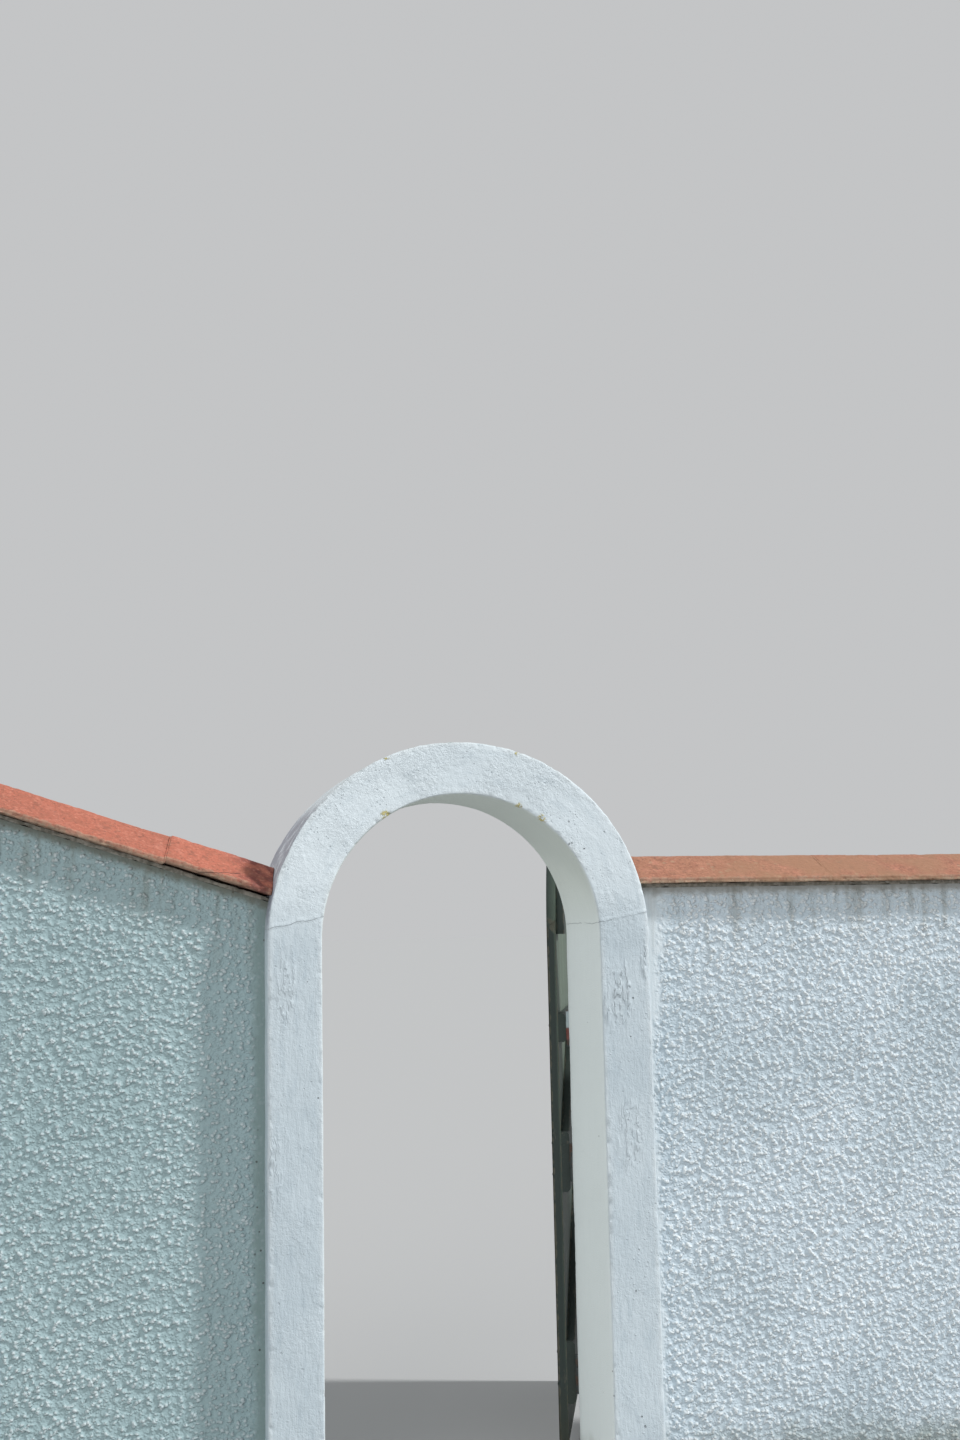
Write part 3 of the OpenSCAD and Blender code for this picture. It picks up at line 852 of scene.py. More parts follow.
def iron_finish(colours):
    """Dark paint over rust, with wall paint brushed over what lies on the pier."""
    g = Shader("painted_iron", colours.iron, IOR=1.5)
    x, y, _ = g.split(g.place)
    broad = g.noise(g.place, 0.03, 5.0)
    rusty = g.between(broad + g.patches(0.012, 4.0, 0.45, 0.62) * 0.1, 0.50, 0.62)
    g.coat(rusty * 0.8, colours.rust)
    g.coat(g.patches(0.006, 3.0, 0.55, 0.7) * rusty * 0.7, srgb(98, 66, 48))
    # Wall paint brushed over the pier plates and the top knuckle, which has a rust-red patch below
    over = g.between(x + g.uneven(0.008, 3.0, 0.012), PIN_X + 0.006, PIN_X + 0.016)
    over = over * g.between(y, PIN_Y + 0.012, PIN_Y + 0.006)
    knuckle = g.spot(g.place, (PIN_X, PIN_Y, TOP_LEDGE_Z + 0.026), (0.020, 0.020, 0.030), 0.2)
    patch = g.spot(g.place, (PIN_X, PIN_Y, TOP_LEDGE_Z - 0.016), (0.020, 0.020, 0.026), 0.4)
    painted = g.math("MAXIMUM", over * g.between(broad, 0.66, 0.54), knuckle)
    g.coat(patch * 0.8, srgb(120, 58, 48))
    g.coat(painted * 0.9, srgb(168, 182, 184))
    height = rusty * g.noise(g.place, 0.003, 3.0) * 0.0005 + broad * 0.0002 + painted * 0.0003
    return g.finish(0.45 + rusty * 0.35, height)


MATERIALS = {
    "render": surround_paint,
    "wall": wall_paint,
    "coping": coping_paint,
    "mortar": mortar_finish,
    "timber": timber_paint,
    "ironwork": iron_finish,
}


@functools.cache
def finish_of(key):
    """The material of that key, made when it is first asked for."""
    return MATERIALS[key](bpy.context.scene.gateway_colours)


# Relief trees


def roughcast_shape():
    """Thrown roughcast: blunt dabs that run into each other, dying out at a smooth margin."""
    g = Shape("roughcast", Dab_Size=0.0122, Relief=0.0080, Margin=0.034)
    coarse, _ = dab_relief(g, g.given["Dab Size"])
    thrown = thrown_part(g, g.given["Margin"])
    push = (coarse - 0.40) * g.given["Relief"] * thrown + g.uneven(0.30, 1.0, 0.003)
    return g.finish(g.pushed(push))


def trowelled_shape():
    """Hand-trowelled render: slow sway, stipple, torn ridges and chipped arrises."""
    g = Shape("trowelled", Sway=0.0018, Stipple=0.0017, Chip_Depth=0.0030, Seed=7.0)
    seed = g.given["Seed"]
    lay = g.attribute("lay", True)
    place = g.vec("ADD", g.place, g.join(seed, 0.0, seed * 0.61))
    arch = g.between(g.split(g.place)[2], SPRING_Z - 0.02, SPRING_Z + 0.14)
    face = 1.0 - g.attribute("reveal") * 0.8
    sway = g.uneven(0.17, 2.0, 2.0, place) * g.given["Sway"]
    # The jambs keep long trowel drags, the arch band a stippled face
    drags = g.uneven(0.014, 2.0, 1.0, g.stretched(g.warped(lay, 0.05, 0.006), 1.0, 1.0, 0.22))
    patchy = g.patches(0.15, 2.0, 0.40, 0.60)
    dabbed = g.uneven(0.012, 2.0, 1.0, lay) * (0.20 + arch * (0.30 + patchy * 0.60))
    stipple = (drags * (0.6 - arch * 0.3) + dabbed) * 2.0 * g.given["Stipple"] * face
    arris = g.attribute("edge") * face
    beads = arris * g.uneven(0.024, 3.0, 1.0, place) * 0.0040
    worn = g.spot(g.place, (RIGHT_FOOT_X - SURROUND_W, FRONT_Y, 0.86), (0.03, 0.05, 0.26))
    chips = arris * g.between(g.noise(place, 0.022, 3.0) + worn * 0.08, 0.59, 0.66)
    push = sway + stipple + torn_ridges(g, lay) * 0.0026 + beads - chips * g.given["Chip Depth"]
    return g.finish(g.store(g.pushed(push), "hollow", (0.45 - stipple * 240.0 + chips * 0.3).clamp()))


@functools.cache
def cast_shape():
    """Cast slab or mortar: uneven faces, worn and chipped edges."""
    g = Shape("cast", Sway=0.0028, Stipple=0.0010, Chip_Depth=0.0040, Seed=7.0)
    seed = g.given["Seed"]
    place = g.vec("ADD", g.place, g.join(0.0, seed, seed * 0.43))
    sway = g.uneven(0.12, 2.0, 2.0, place) * g.given["Sway"]
    stipple = g.uneven(0.018, 3.0, 2.0, place) * g.given["Stipple"]
    chips = g.attribute("edge") * g.patches(0.028, 3.0, 0.52, 0.70, place)
    return g.finish(g.pushed(sway + stipple - chips * g.given["Chip Depth"]))


# Surround


def surround_loop(cell, arris):
    """Section of the surround as (distance from the opening, y), fine where it shows."""
    w, radii = SURROUND_W, [0, arris, arris, 0]
    under = walk([(0, 0), (0, FRONT_Y), (w, FRONT_Y), (w, 0)], cell, radii, 4)
    over = walk([(0, 0), (0, BACK_Y), (w, BACK_Y), (w, 0)], cell * 1.25, radii, 4)
    return loop_of(under, over)


def build_surround(sizes):
    loop = surround_loop(sizes.surround_cell, sizes.arris)
    r, y = OPENING_R + loop[:, 0], loop[:, 1]
    middle_r = OPENING_R + SURROUND_W / 2
    heights = np.linspace(0, SPRING_Z, round(SPRING_Z / (sizes.surround_cell * 1.05)) + 1)
    turns = np.linspace(0, math.pi, round(math.pi * OUTER_R / (sizes.surround_cell * 1.08)) + 1)
    # Each piece with its rings and their way along the band, from foot to foot
    pieces = (
        ("left_pier", rings_of(lambda z: (GATE_X - r, y, z), heights), heights),
        ("right_pier", rings_of(lambda z: (GATE_X + r, y, z), heights),
         math.pi * middle_r + 2 * SPRING_Z - heights),
        ("arch_ring",
         rings_of(lambda a: (GATE_X + r * math.cos(a), y, SPRING_Z + r * math.sin(a)), turns),
         SPRING_Z + (math.pi - turns) * middle_r),
    )
    shape = trowelled_shape()
    given = {"edge": loop_edges(loop), "reveal": np.clip(1 - loop[:, 0] / 0.004, 0, 1)}
    for node, rings, along in pieces:
        given["lay"] = rings_of(lambda s: (*loop.T, s), along)
        obj = shaped(loft("render_" + node, rings, given), shape, finish_of("render"),
                     Sway=sizes.sway, Stipple=sizes.stipple, Seed=float(sizes.seed))
        dressed(obj, 75, "gateway", "render", node)


# Walls


def wall_half(name, far_x, foot_x, top_at, street, cell):
    """Half of a wall's thickness as a closed skin, its relief face towards the street or garden.

    far_x is the wall's far end, foot_x the side of the pier and top_at the height over x.
    """
    side = -1 if street else 1
    face_y, mid_y = side * WALL_HALF, -side * WALL_LAP
    toward = 1 if foot_x > far_x else -1
    # Plan of the free end and the face, from the middle of the end towards the surround
    corners = [(far_x, mid_y), (far_x, face_y), (far_x + toward * WALL_RETURN, face_y)]
    end = walk(corners, cell, [0, WALL_ARRIS, 0], 3)
    start_x = end[-1, 0]
    across = max(2, round(abs(foot_x - start_x) / cell))
    rows = round(max(top_at(far_x), top_at(foot_x)) / (cell * 1.04))
    t = np.linspace(0, 1, rows + 1)
    # Boundary at the surround: plumb up the pier, then round the back of the arch band
    rim = foot_x + np.zeros_like(t)
    for _ in range(4):
        lift = np.clip(t * top_at(rim) - SPRING_Z, 0, None)
        rim = GATE_X - toward * np.sqrt(OUTER_R**2 - lift**2)
    rim = rim + toward * WALL_LAP

    def each_row(line):
        return np.tile(line, (rows + 1, 1))

    face_x = start_x + np.linspace(0, 1, across + 1)[1:] * (rim[:, None] - start_x)
    x = np.hstack([each_row(end[:, 0]), face_x])
    y = np.hstack([each_row(end[:, 1]), np.full_like(face_x, face_y)])
    z = t[:, None] * top_at(x)
    back = np.stack([rim, np.full_like(rim, mid_y), t * top_at(rim)], -1)
    # Faces of the grid, of the side at the surround, and of the foot, the top and the middle
    index = np.arange(x.size).reshape(x.shape)
    extra = x.size + np.arange(rows + 1)
    quads = [index[:-1, :-1], index[:-1, 1:], index[1:, 1:], index[1:, :-1]]
    faces = np.stack(quads, -1).reshape(-1, 4).tolist()
    faces += np.stack([index[:-1, -1], extra[:-1], extra[1:], index[1:, -1]], -1).tolist()
    faces.append([int(extra[0])] + index[0][::-1].tolist())
    faces.append(index[-1].tolist() + [int(extra[-1])])
    faces.append(index[:, 0].tolist() + extra[::-1].tolist())
    # Outward directions, and the way round the wall for the pattern
    plan = np.gradient(end, axis=0)
    normal = np.stack([plan[:, 1], -plan[:, 0]], -1)
    normal /= np.linalg.norm(normal, axis=1, keepdims=True)
    if normal[-1, 1] * side < 0:
        normal = -normal
    out = np.zeros(x.shape + (3,))
    out[:, : len(end), :2] = normal
    out[:, len(end) :, 1] = side
    run = np.concatenate([[0], np.cumsum(np.linalg.norm(np.diff(end, axis=0), axis=1))])
    round_wall = np.hstack([each_row(run), run[-1] + np.abs(face_x - start_x)])
    lay = np.stack([round_wall, z, np.full_like(z, far_x + side)], -1)
    pad = np.zeros(rows + 1)
    attributes = {
        "out": np.vstack([out.reshape(-1, 3), np.zeros((rows + 1, 3))]),
        "lay": np.vstack([lay.reshape(-1, 3), lay[:, -1]]),
        "inset": np.concatenate([np.abs(rim[:, None] - x).ravel(), pad]),
        "drop": np.concatenate([(top_at(x) - z).ravel(), pad]),
    }
    points = np.vstack([np.stack([x, y, z], -1).reshape(-1, 3), back])
    return mesh_object(name, points, faces, attributes)


def raked_top(x):
    return LEFT_TOP_Z + (LEFT_FOOT_X - x) * math.tan(RAKE)


def level_top(x):
    return RIGHT_HIGH.z + 0 * x


def build_walls(sizes):
    shape = roughcast_shape()
    walls = (
        ("left_wall", LEFT_LOW.x, LEFT_FOOT_X, raked_top),
        ("right_wall", RIGHT_HIGH.x, RIGHT_FOOT_X, level_top),
    )
    for node, far_x, foot_x, top_at in walls:
        for face, cell in (("street", sizes.wall_cell), ("garden", sizes.garden_cell)):
            carrier = wall_half(f"roughcast_{node}_{face}", far_x, foot_x, top_at, face == "street", cell)
            obj = shaped(carrier, shape, finish_of("wall"),
                         Dab_Size=sizes.dab, Relief=sizes.dab_relief, Margin=sizes.wall_margin)
            dressed(obj, 75, "gateway", "render", node)


# Beds and copings


def along_rake(s, y, h):
    """Point on the raked wall: s up the slope from the surround, h above the wall's top."""
    c, n = math.cos(RAKE), math.sin(RAKE)
    return np.stack([LEFT_FOOT_X - s * c + h * n, y + 0 * s, LEFT_TOP_Z + s * n + h * c], -1)


def along_level(s, y, h):
    return np.stack([RIGHT_FOOT_X + s, y + 0 * s, RIGHT_HIGH.z + h + 0 * s], -1)


def reach_of_arch(run, h, inside):
    """Where a line at height h along the wall top meets the round back of the arch band."""
    s, step = np.zeros_like(h), 1e-4

    def apart(s):
        at = run(s, 0 * h, h)
        return np.hypot(at[..., 0] - GATE_X, at[..., 2] - SPRING_Z) - (OUTER_R - inside)

    for _ in range(12):
        grow = (apart(s + step) - apart(s)) / step
        s = s - apart(s) / np.where(np.abs(grow) < 0.05, 0.05, grow)
    return s


def reach_of_end(run, h, x_end):
    """Where a line at height h along the wall top meets the plumb end of the wall."""
    a, b = run(0 * h, 0 * h, h)[..., 0], run(0 * h + 1, 0 * h, h)[..., 0]
    return (x_end - a) / (b - a)


def slab_loop(cell):
    """Section of a coping slab as (y, height above its bed)."""
    w, e, top = COPING_HALF, SLAB_EDGE, SLAB_EDGE + SLAB_RISE
    radii = [0, SLAB_ARRIS, SLAB_RIDGE, SLAB_ARRIS, 0]
    over = walk([(-w, e / 2), (-w, e), (0, top), (w, e), (w, e / 2)], cell, radii, 3)
    d0, d1 = w - DRIP_IN, w - DRIP_IN - DRIP_W
    half = [(w, e / 2), (w, 0), (d0, 0), (d0, DRIP_D), (d1, DRIP_D), (d1, 0)]
    radii = [0, 0.003] + [0.0015] * 8 + [0.003, 0]
    under = walk([(-y, h) for y, h in half] + half[::-1], cell * 1.6, radii, 2)
    return loop_of(under, over)


def swept(name, loop, run, lows, highs, base, cell, round_r=0.0, **attributes):
    """Sweeps a loop of (y, h) along the wall top between two ends given for each point."""
    length = float((highs - lows).mean())
    t = np.linspace(0, 1, max(2, round(length / cell)) + 1)
    if round_r:
        bend = np.array([0.0, 0.35, 1.0]) * round_r / length
        t = np.concatenate([bend, t[1:-1], (1 - bend)[::-1]])
    rings = []
    middle = loop.mean(0)
    for k, f in enumerate(t):
        ring = loop
        close = min(k, len(t) - 1 - k)
        if round_r and close < 2:
            pull = (round_r, round_r * 0.35)[close]
            away = ring - middle
            far = np.maximum(np.linalg.norm(away, axis=1, keepdims=True), 1e-6)
            ring = middle + away * (1 - pull / far)
        rings.append(run(lows + (highs - lows) * f, ring[:, 0], ring[:, 1] + base))
    near_end = np.minimum(t, 1 - t)[:, None] * length
    edge = np.maximum(loop_edges(loop)[None], np.clip(1 - near_end / SLAB_WEAR, 0, 1) * 0.8)
    return loft(name, np.stack(rings), {"edge": edge, **attributes})


def cast(carrier, angle, slot, seed, *nodes, **inputs):
    """Gives a slab, a bed or pointing its uneven faces and its finish."""
    obj = shaped(carrier, cast_shape(), finish_of(slot), Seed=float(seed), **inputs)
    dressed(obj, angle, "gateway", slot, *nodes)


def build_coping(sizes):
    loop = slab_loop(sizes.slab_cell)
    h = loop[:, 1] + BED_T
    arch_left, arch_right = (reach_of_arch(run, h, -SLAB_GAP) for run in (along_rake, along_level))
    end_left, end_right = reach_of_end(along_rake, h, LEFT_LOW.x), RIGHT_HIGH.x - RIGHT_FOOT_X
    second = CUT_SLAB_L + SLAB_L
    slabs = (
        ("left_coping_1", along_rake, arch_left, CUT_SLAB_L, 0.0, CUT_SLAB_LIFT),
        ("left_coping_2", along_rake, CUT_SLAB_L + SLAB_JOINT, second, 0.45, 0.0),
        ("left_coping_3", along_rake, second + SLAB_JOINT, end_left, 0.15, 0.0),
        ("right_coping_1", along_level, arch_right, SLAB_L, 0.3, 0.0),
        ("right_coping_2", along_level, SLAB_L + SLAB_JOINT, end_right, 0.8, 0.0),
    )
    for k, (node, run, lows, highs, tone, lift) in enumerate(slabs):
        carrier = swept("slab_" + node, loop, run, 0 * h + lows, 0 * h + highs, BED_T + lift,
                        sizes.slab_cell, SLAB_END, tone=tone, rise=loop[:, 1])
        cast(carrier, 55, "coping", sizes.seed + 3 * k, node)


def build_beds(sizes):
    w = WALL_HALF + BED_PROUD
    radii = [0, BED_ARRIS, BED_ARRIS, 0]
    over = walk([(-w, BED_T / 2), (-w, BED_T), (w, BED_T), (w, BED_T / 2)], 0.05, radii, 2)
    under = walk([(-w, BED_T / 2), (-w, 0), (w, 0), (w, BED_T / 2)], 0.05, radii, 2)
    loop = loop_of(under, over)
    h = loop[:, 1]
    beds = (
        ("left_bed", along_rake, reach_of_end(along_rake, h, LEFT_LOW.x)),
        ("right_bed", along_level, 0 * h + RIGHT_HIGH.x - RIGHT_FOOT_X),
    )
    for node, run, highs in beds:
        carrier = swept("mortar_" + node, loop, run, reach_of_arch(run, h, 0.0), highs, 0.0, 0.006)
        cast(carrier, 70, "mortar", sizes.seed + 40, node, Sway=0.0030, Stipple=0.0012, Chip_Depth=0.0035)
    # Pointing in the joints between slabs, kept a little below their faces
    loop = slab_loop(0.02) * POINTING_SCALE
    joints = (
        ("pointing_left_1", along_rake, CUT_SLAB_L, CUT_SLAB_LIFT * 0.5),
        ("pointing_left_2", along_rake, CUT_SLAB_L + SLAB_L, 0.0),
        ("pointing_right", along_level, SLAB_L, 0.0),
    )
    for name, run, s, lift in joints:
        start = 0 * loop[:, 1] + s
        carrier = swept(name, loop, run, start - POINTING_LAP, start + SLAB_JOINT + POINTING_LAP,
                        BED_T + lift, 0.002, rise=loop[:, 1])
        cast(carrier, 60, "coping", sizes.seed, Sway=0.0012, Stipple=0.0012, Chip_Depth=0.001)


# Door


def hung(points):
    """Swings points of the shut leaf to where it stands open."""
    points = np.asarray(points, float)
    c, n = math.cos(-OPEN), math.sin(-OPEN)
    x, y = points[..., 0] - PIN_X, points[..., 1] - PIN_Y
    return np.stack([PIN_X + c * x - n * y, PIN_Y + n * x + c * y, points[..., 2]], -1)


def plank_loop(x0, x1, y0, y1, front_c, back_c, cell):
    """Section across a plank: chamfered towards the street, eased towards the garden."""

    def half(y, cut, depth, radii):
        corners = [(x0, y + depth), (x0 + cut, y), (x1 - cut, y), (x1, y + depth)]
        return walk([(x0, (y0 + y1) / 2), *corners, (x1, (y0 + y1) / 2)], cell, radii, 1)

    return loop_of(half(y0, front_c, front_c, [0] + [0.001] * 4 + [0]), half(y1, back_c, -back_c, [0] * 6))


def timber(node, name, rings, along, across, tone, sunned):
    """Lofted timber piece from rings of the shut leaf, swung open, its grain by along and across."""
    given = {
        "edge": loop_edges(np.stack([np.abs(rings[0, :, 0]), rings[0, :, 1]], -1), 0.004),
        "tone": tone,
        "sunned": sunned,
        "lay": np.stack(np.broadcast_arrays(along, across, rings[..., 1]), -1),
    }
    obj = loft(name, hung(rings), given, halved=True)
    obj.data.materials.append(finish_of("timber"))
    dressed(obj, 32, "door", "timber", node)


def build_door(sizes):
    rng = np.random.default_rng(sizes.seed)
    # Boards, their tops cut to the round head
    cell, count = BOARD_MESH
    for k in range(BOARD_N):
        x0 = FREE_X + k * BOARD_PITCH
        x1 = x0 + BOARD_PITCH - BOARD_GAP
        loop = plank_loop(x0, x1, BOARD_Y, BOARD_Y + BOARD_T, BOARD_CHAMFER, BOARD_EASE, cell)
        # Closer columns where the round head is steep
        if k in (0, BOARD_N - 1):
            outer, inner = (x0, x1) if k == 0 else (x1, x0)
            f = np.clip((loop[:, 0] - outer) / (inner - outer), 0, 1)
            on_face = (loop[:, 1] < BOARD_Y + 1e-5) | (loop[:, 1] > BOARD_Y + BOARD_T - 1e-5)
            loop[:, 0] = np.where(on_face, outer + (inner - outer) * f**1.7, loop[:, 0])
        tops = SPRING_Z + np.sqrt(np.clip(LEAF_R**2 - (loop[:, 0] - GATE_X) ** 2, 0, None))
        rings = rings_of(lambda f: (*loop.T, LEAF_LIFT + f * (tops - LEAF_LIFT)), np.linspace(0, 1, count))
        x, y, z = rings.transpose(2, 0, 1)
        # Painted sunlight on each board's garden face
        sunned = np.clip((y - BOARD_Y - BOARD_T * 0.8) / (BOARD_T * 0.2), 0, 1)
        tone = rng.uniform(0, 1)
        timber(f"door_board_{k + 1}", f"board_{k + 1}", rings, z, x + BOARD_GRAIN * k, tone, sunned)
    # Ledges across the garden face, top and bottom edges bevelled
    cell, count = LEDGE_MESH
    y0, y1, bevel = LEDGE_Y, LEDGE_Y + LEDGE_T, LEDGE_T / 3
    for k, (node, (mid_z, width)) in enumerate(LEDGES.items()):
        over = [(y0, 0), (y0, width / 2), (y1 - bevel, width / 2), (y1, width / 2 - bevel), (y1, 0)]
        halves = [[(y, h * side) for y, h in over] for side in (-1, 1)]
        loop = loop_of(*(walk(half, cell, [0, 0.001, 0.002, 0.002, 0], 1) for half in halves))
        xs = np.linspace(FREE_X + LEDGE_IN, ROOT_X, count)
        rings = rings_of(lambda x: (x, loop[:, 0], mid_z + loop[:, 1]), xs)
        x, _, z = rings.transpose(2, 0, 1)
        timber(node, "timber_" + node, rings, x, z + LEDGE_GRAIN + k, rng.uniform(0, 0.6), LEDGE_SUNLIGHT)
    # Braces rise from the hinge side
    cell, count = BRACE_MESH
    foot = ROOT_X - LEDGE_IN
    c, n = math.cos(BRACE_SLOPE), math.sin(BRACE_SLOPE)
    span = BRACE_H / n
    room = foot - FREE_X - 2 * LEDGE_IN - span
    bottom, middle, top = sorted(LEDGES.values())
    loop = plank_loop(-span, 0.0, y0, y1, *BRACE_EASE, cell)
    for node, low, high in (("lower_brace", bottom, middle), ("upper_brace", middle, top)):
        z0, z1 = low[0] + low[1] / 2, high[0] - high[1] / 2
        run = min((z1 - z0) / math.tan(BRACE_SLOPE), room)
        rings = rings_of(lambda t: (foot - t * run + loop[:, 0], loop[:, 1], z0 + t * (z1 - z0)),
                         np.linspace(0, 1, count))
        x, _, z = rings.transpose(2, 0, 1)
        along, across = -x * c + z * n, x * n + z * c + z0
        timber(node, "timber_" + node, rings, along, across, rng.uniform(0, 0.6), BRACE_SUNLIGHT)
    # Head rail round the top
    cell, count = RAIL_MESH
    outer_r = LEAF_R - LEDGE_IN
    loop = plank_loop(outer_r - HEAD_RAIL_H, outer_r, y0, y1, *BRACE_EASE, cell)
    r = loop[:, 0]
    turns = np.linspace(0, math.pi, count)
    rings = rings_of(lambda a: (GATE_X + r * math.cos(a), loop[:, 1], SPRING_Z + r * math.sin(a)), turns)
    along = (turns * outer_r)[:, None]
    timber("head_rail", "timber_head_rail", rings, along, r + RAIL_GRAIN, 0.4, LEDGE_SUNLIGHT)


# Ironwork and fixings

IRON = {
    "hinge_plate_top": "gateway", "hinge_plate_middle": "gateway", "hinge_plate_bottom": "gateway",
    "bolt_keep": "gateway", "hinge_strap_top": "door", "hinge_strap_middle": "door",
    "hinge_strap_bottom": "door", "door_pull": "door", "door_bolt": "door",
}

# Where nails and screws sit, from the middle or the edge of what they hold
BOARD_NAIL_OUT = 0.036
BOARD_NAIL_STEP = 0.006
BOARD_NAIL_ROW = 0.26
RAIL_NAIL_OUT = 0.030
STRAP_SCREW_OUT = 0.012
STRAP_SCREW_X = (0.028, 0.085)
BOLT_SCREW_IN = 0.034
BOLT_SCREW_OUT = 0.016
PULL_SCREW_OUT = 0.011
PULL_FOOT_T = 0.005
PLATE_SCREW_X = 0.028
PLATE_SCREW_Z = 0.040
KEEP_SCREW_OUT = 0.017


def eased_copy(node, name, width=0.0007):
    """Merged copy of a frame node with eased edges."""
    mesh = frame["nodes"][node].data.copy()
    work = bmesh.new()
    work.from_mesh(mesh)
    bmesh.ops.remove_doubles(work, verts=work.verts, dist=1e-5)
    bmesh.ops.dissolve_limit(work, angle_limit=math.radians(1.0), verts=work.verts, edges=work.edges)
    bmesh.ops.recalc_face_normals(work, faces=work.faces)
    work.to_mesh(mesh)
    work.free()
    mesh.materials.clear()
    obj = placed(name, mesh)
    modifier = obj.modifiers.new("ease", "BEVEL")
    modifier.width, modifier.segments = width, 2
    modifier.limit_method, modifier.angle_limit = "ANGLE", math.radians(35)
    return baked(obj)


def build_ironwork():
    for node, body in IRON.items():
        obj = eased_copy(node, "iron_" + node)
        obj.data.materials.append(finish_of("ironwork"))
        dressed(obj, 32, body, "ironwork", node)


def fixing_shape():
    """Sets a head on every point of a carrier, turned to the face that it is driven into."""
    g = Shape("fixings", Head="Object", Head_Size=0.01, Unevenness=0.1)
    head = g.add("GeometryNodeObjectInfo", {}, {"Object": g.given["Head"]}, "Geometry")
    terms = {"Vector": g.attribute("out", True)}
    toward = g.add("FunctionNodeAlignRotationToVector", {"axis": "Z"}, terms)
    terms = {"Axis": (0.0, 0.0, 1.0), "Angle": g.attribute("turn")}
    spin = g.add("FunctionNodeAxisAngleToRotation", {}, terms)
    terms = {"Rotation": toward, "Rotate By": spin}
    turned = g.add("FunctionNodeRotateRotation", {"rotation_space": "LOCAL"}, terms)
    width = g.given["Head Size"] * (1.0 + g.uneven(0.004, 0.0, 1.0) * g.given["Unevenness"])
    terms = {"Points": g.given["Geometry"], "Instance": head, "Rotation": turned}
    terms["Scale"] = g.join(width, width, width)
    return g.finish(g.add("GeometryNodeInstanceOnPoints", {}, terms))


def nail_head():
    """Hammered rose head of unit diameter, its foot sunk under the face."""
    sides = 9
    rings = [(0.5, -0.15), (0.5, 0.05), (0.36, 0.20), (0.14, 0.28)]
    angles = np.arange(sides) * 2 * math.pi / sides
    points = [(r * math.cos(a), r * math.sin(a), z) for r, z in rings for a in angles]
    index = np.arange(len(points)).reshape(-1, sides)
    return mesh_object("nail_head", points, ring_faces(index) + end_faces(index))


def screw_head():
    """Slotted screw head of unit diameter: a disc and two half domes beside the slot."""
    points, faces = [], []

    def prism(radius, angles, low, high, shrink):
        outline = [(radius * math.cos(a), radius * math.sin(a)) for a in angles]
        start, n = len(points), len(outline)
        middle = np.mean(outline, axis=0)
        points.extend((x, y, low) for x, y in outline)
        points.extend((*(middle + (np.array(p) - middle) * shrink), high) for p in outline)
        faces.append(tuple(range(start, start + n))[::-1])
        faces.append(tuple(range(start + n, start + 2 * n)))
        for i in range(start, start + n):
            j = start + (i + 1 - start) % n
            faces.append((i, j, j + n, i + n))

    prism(0.5, np.arange(16) * math.pi / 8, -0.1, 0.06, 1.0)
    slot = math.asin(0.16)
    for side in (0, math.pi):
        prism(0.49, np.linspace(slot, math.pi - slot, 8) + side, 0.05, 0.20, 0.86)
    return mesh_object("screw_head", points, faces)


def leaf_nails():
    """Clenched nails on the street face: through every board into the ledges and the head rail."""
    spots = []
    rail_r = LEAF_R - LEDGE_IN - HEAD_RAIL_H / 2
    for k in range(BOARD_N):
        mid = FREE_X + (k + 0.5) * BOARD_PITCH
        for z, width in LEDGES.values():
            rows = (-BOARD_NAIL_ROW, BOARD_NAIL_ROW) if width > 0.1 else (0.0,)
            spots += [(mid + side * BOARD_NAIL_OUT, BOARD_Y, z + row * width + side * BOARD_NAIL_STEP)
                      for row in rows for side in (-1, 1)]
        for x in (mid - RAIL_NAIL_OUT, mid + RAIL_NAIL_OUT):
            if abs(x - GATE_X) < rail_r * 0.95:
                spots.append((x, BOARD_Y, SPRING_Z + math.sqrt(rail_r * rail_r - (x - GATE_X) ** 2)))
    return spots


def leaf_screws():
    """Screws through the straps, the bolt's plate and the feet of the pull."""
    iron_y = BACK_Y + PLATE_T
    near, far = STRAP_SCREW_X
    spots = []
    for z, _ in LEDGES.values():
        spots += [(x, iron_y, z) for x in np.linspace(PIN_X - STRAP_L, ROOT_X - far, 4)]
        spots += [(ROOT_X - near, iron_y, z + side * STRAP_SCREW_OUT) for side in (-1, 1)]
    spots += [(FREE_X + LEDGE_IN + x, iron_y, TOP_LEDGE_Z + z)
              for x in (BOLT_SCREW_IN, BOLT_L - BOLT_SCREW_IN) for z in (-BOLT_SCREW_OUT, BOLT_SCREW_OUT)]
    spots += [(FREE_X + BOARD_PITCH / 2 + x, LEDGE_Y + PULL_FOOT_T, PULL_Z + side * PULL_L / 2)
              for x in (-PULL_SCREW_OUT, PULL_SCREW_OUT) for side in (-1, 1)]
    return spots


def pier_screws():
    """Screws through the hinge plates and the bolt's keep into the piers."""
    iron_y = BACK_Y + PLATE_T
    spots = [(PIN_X + PLATE_SCREW_X, iron_y, z + side * PLATE_SCREW_Z)
             for z, _ in LEDGES.values() for side in (-1, 0, 1)]
    low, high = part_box("bolt_keep")
    middle = (low + high) / 2
    return spots + [(middle.x, iron_y, middle.z + side * KEEP_SCREW_OUT) for side in (-1, 1)]


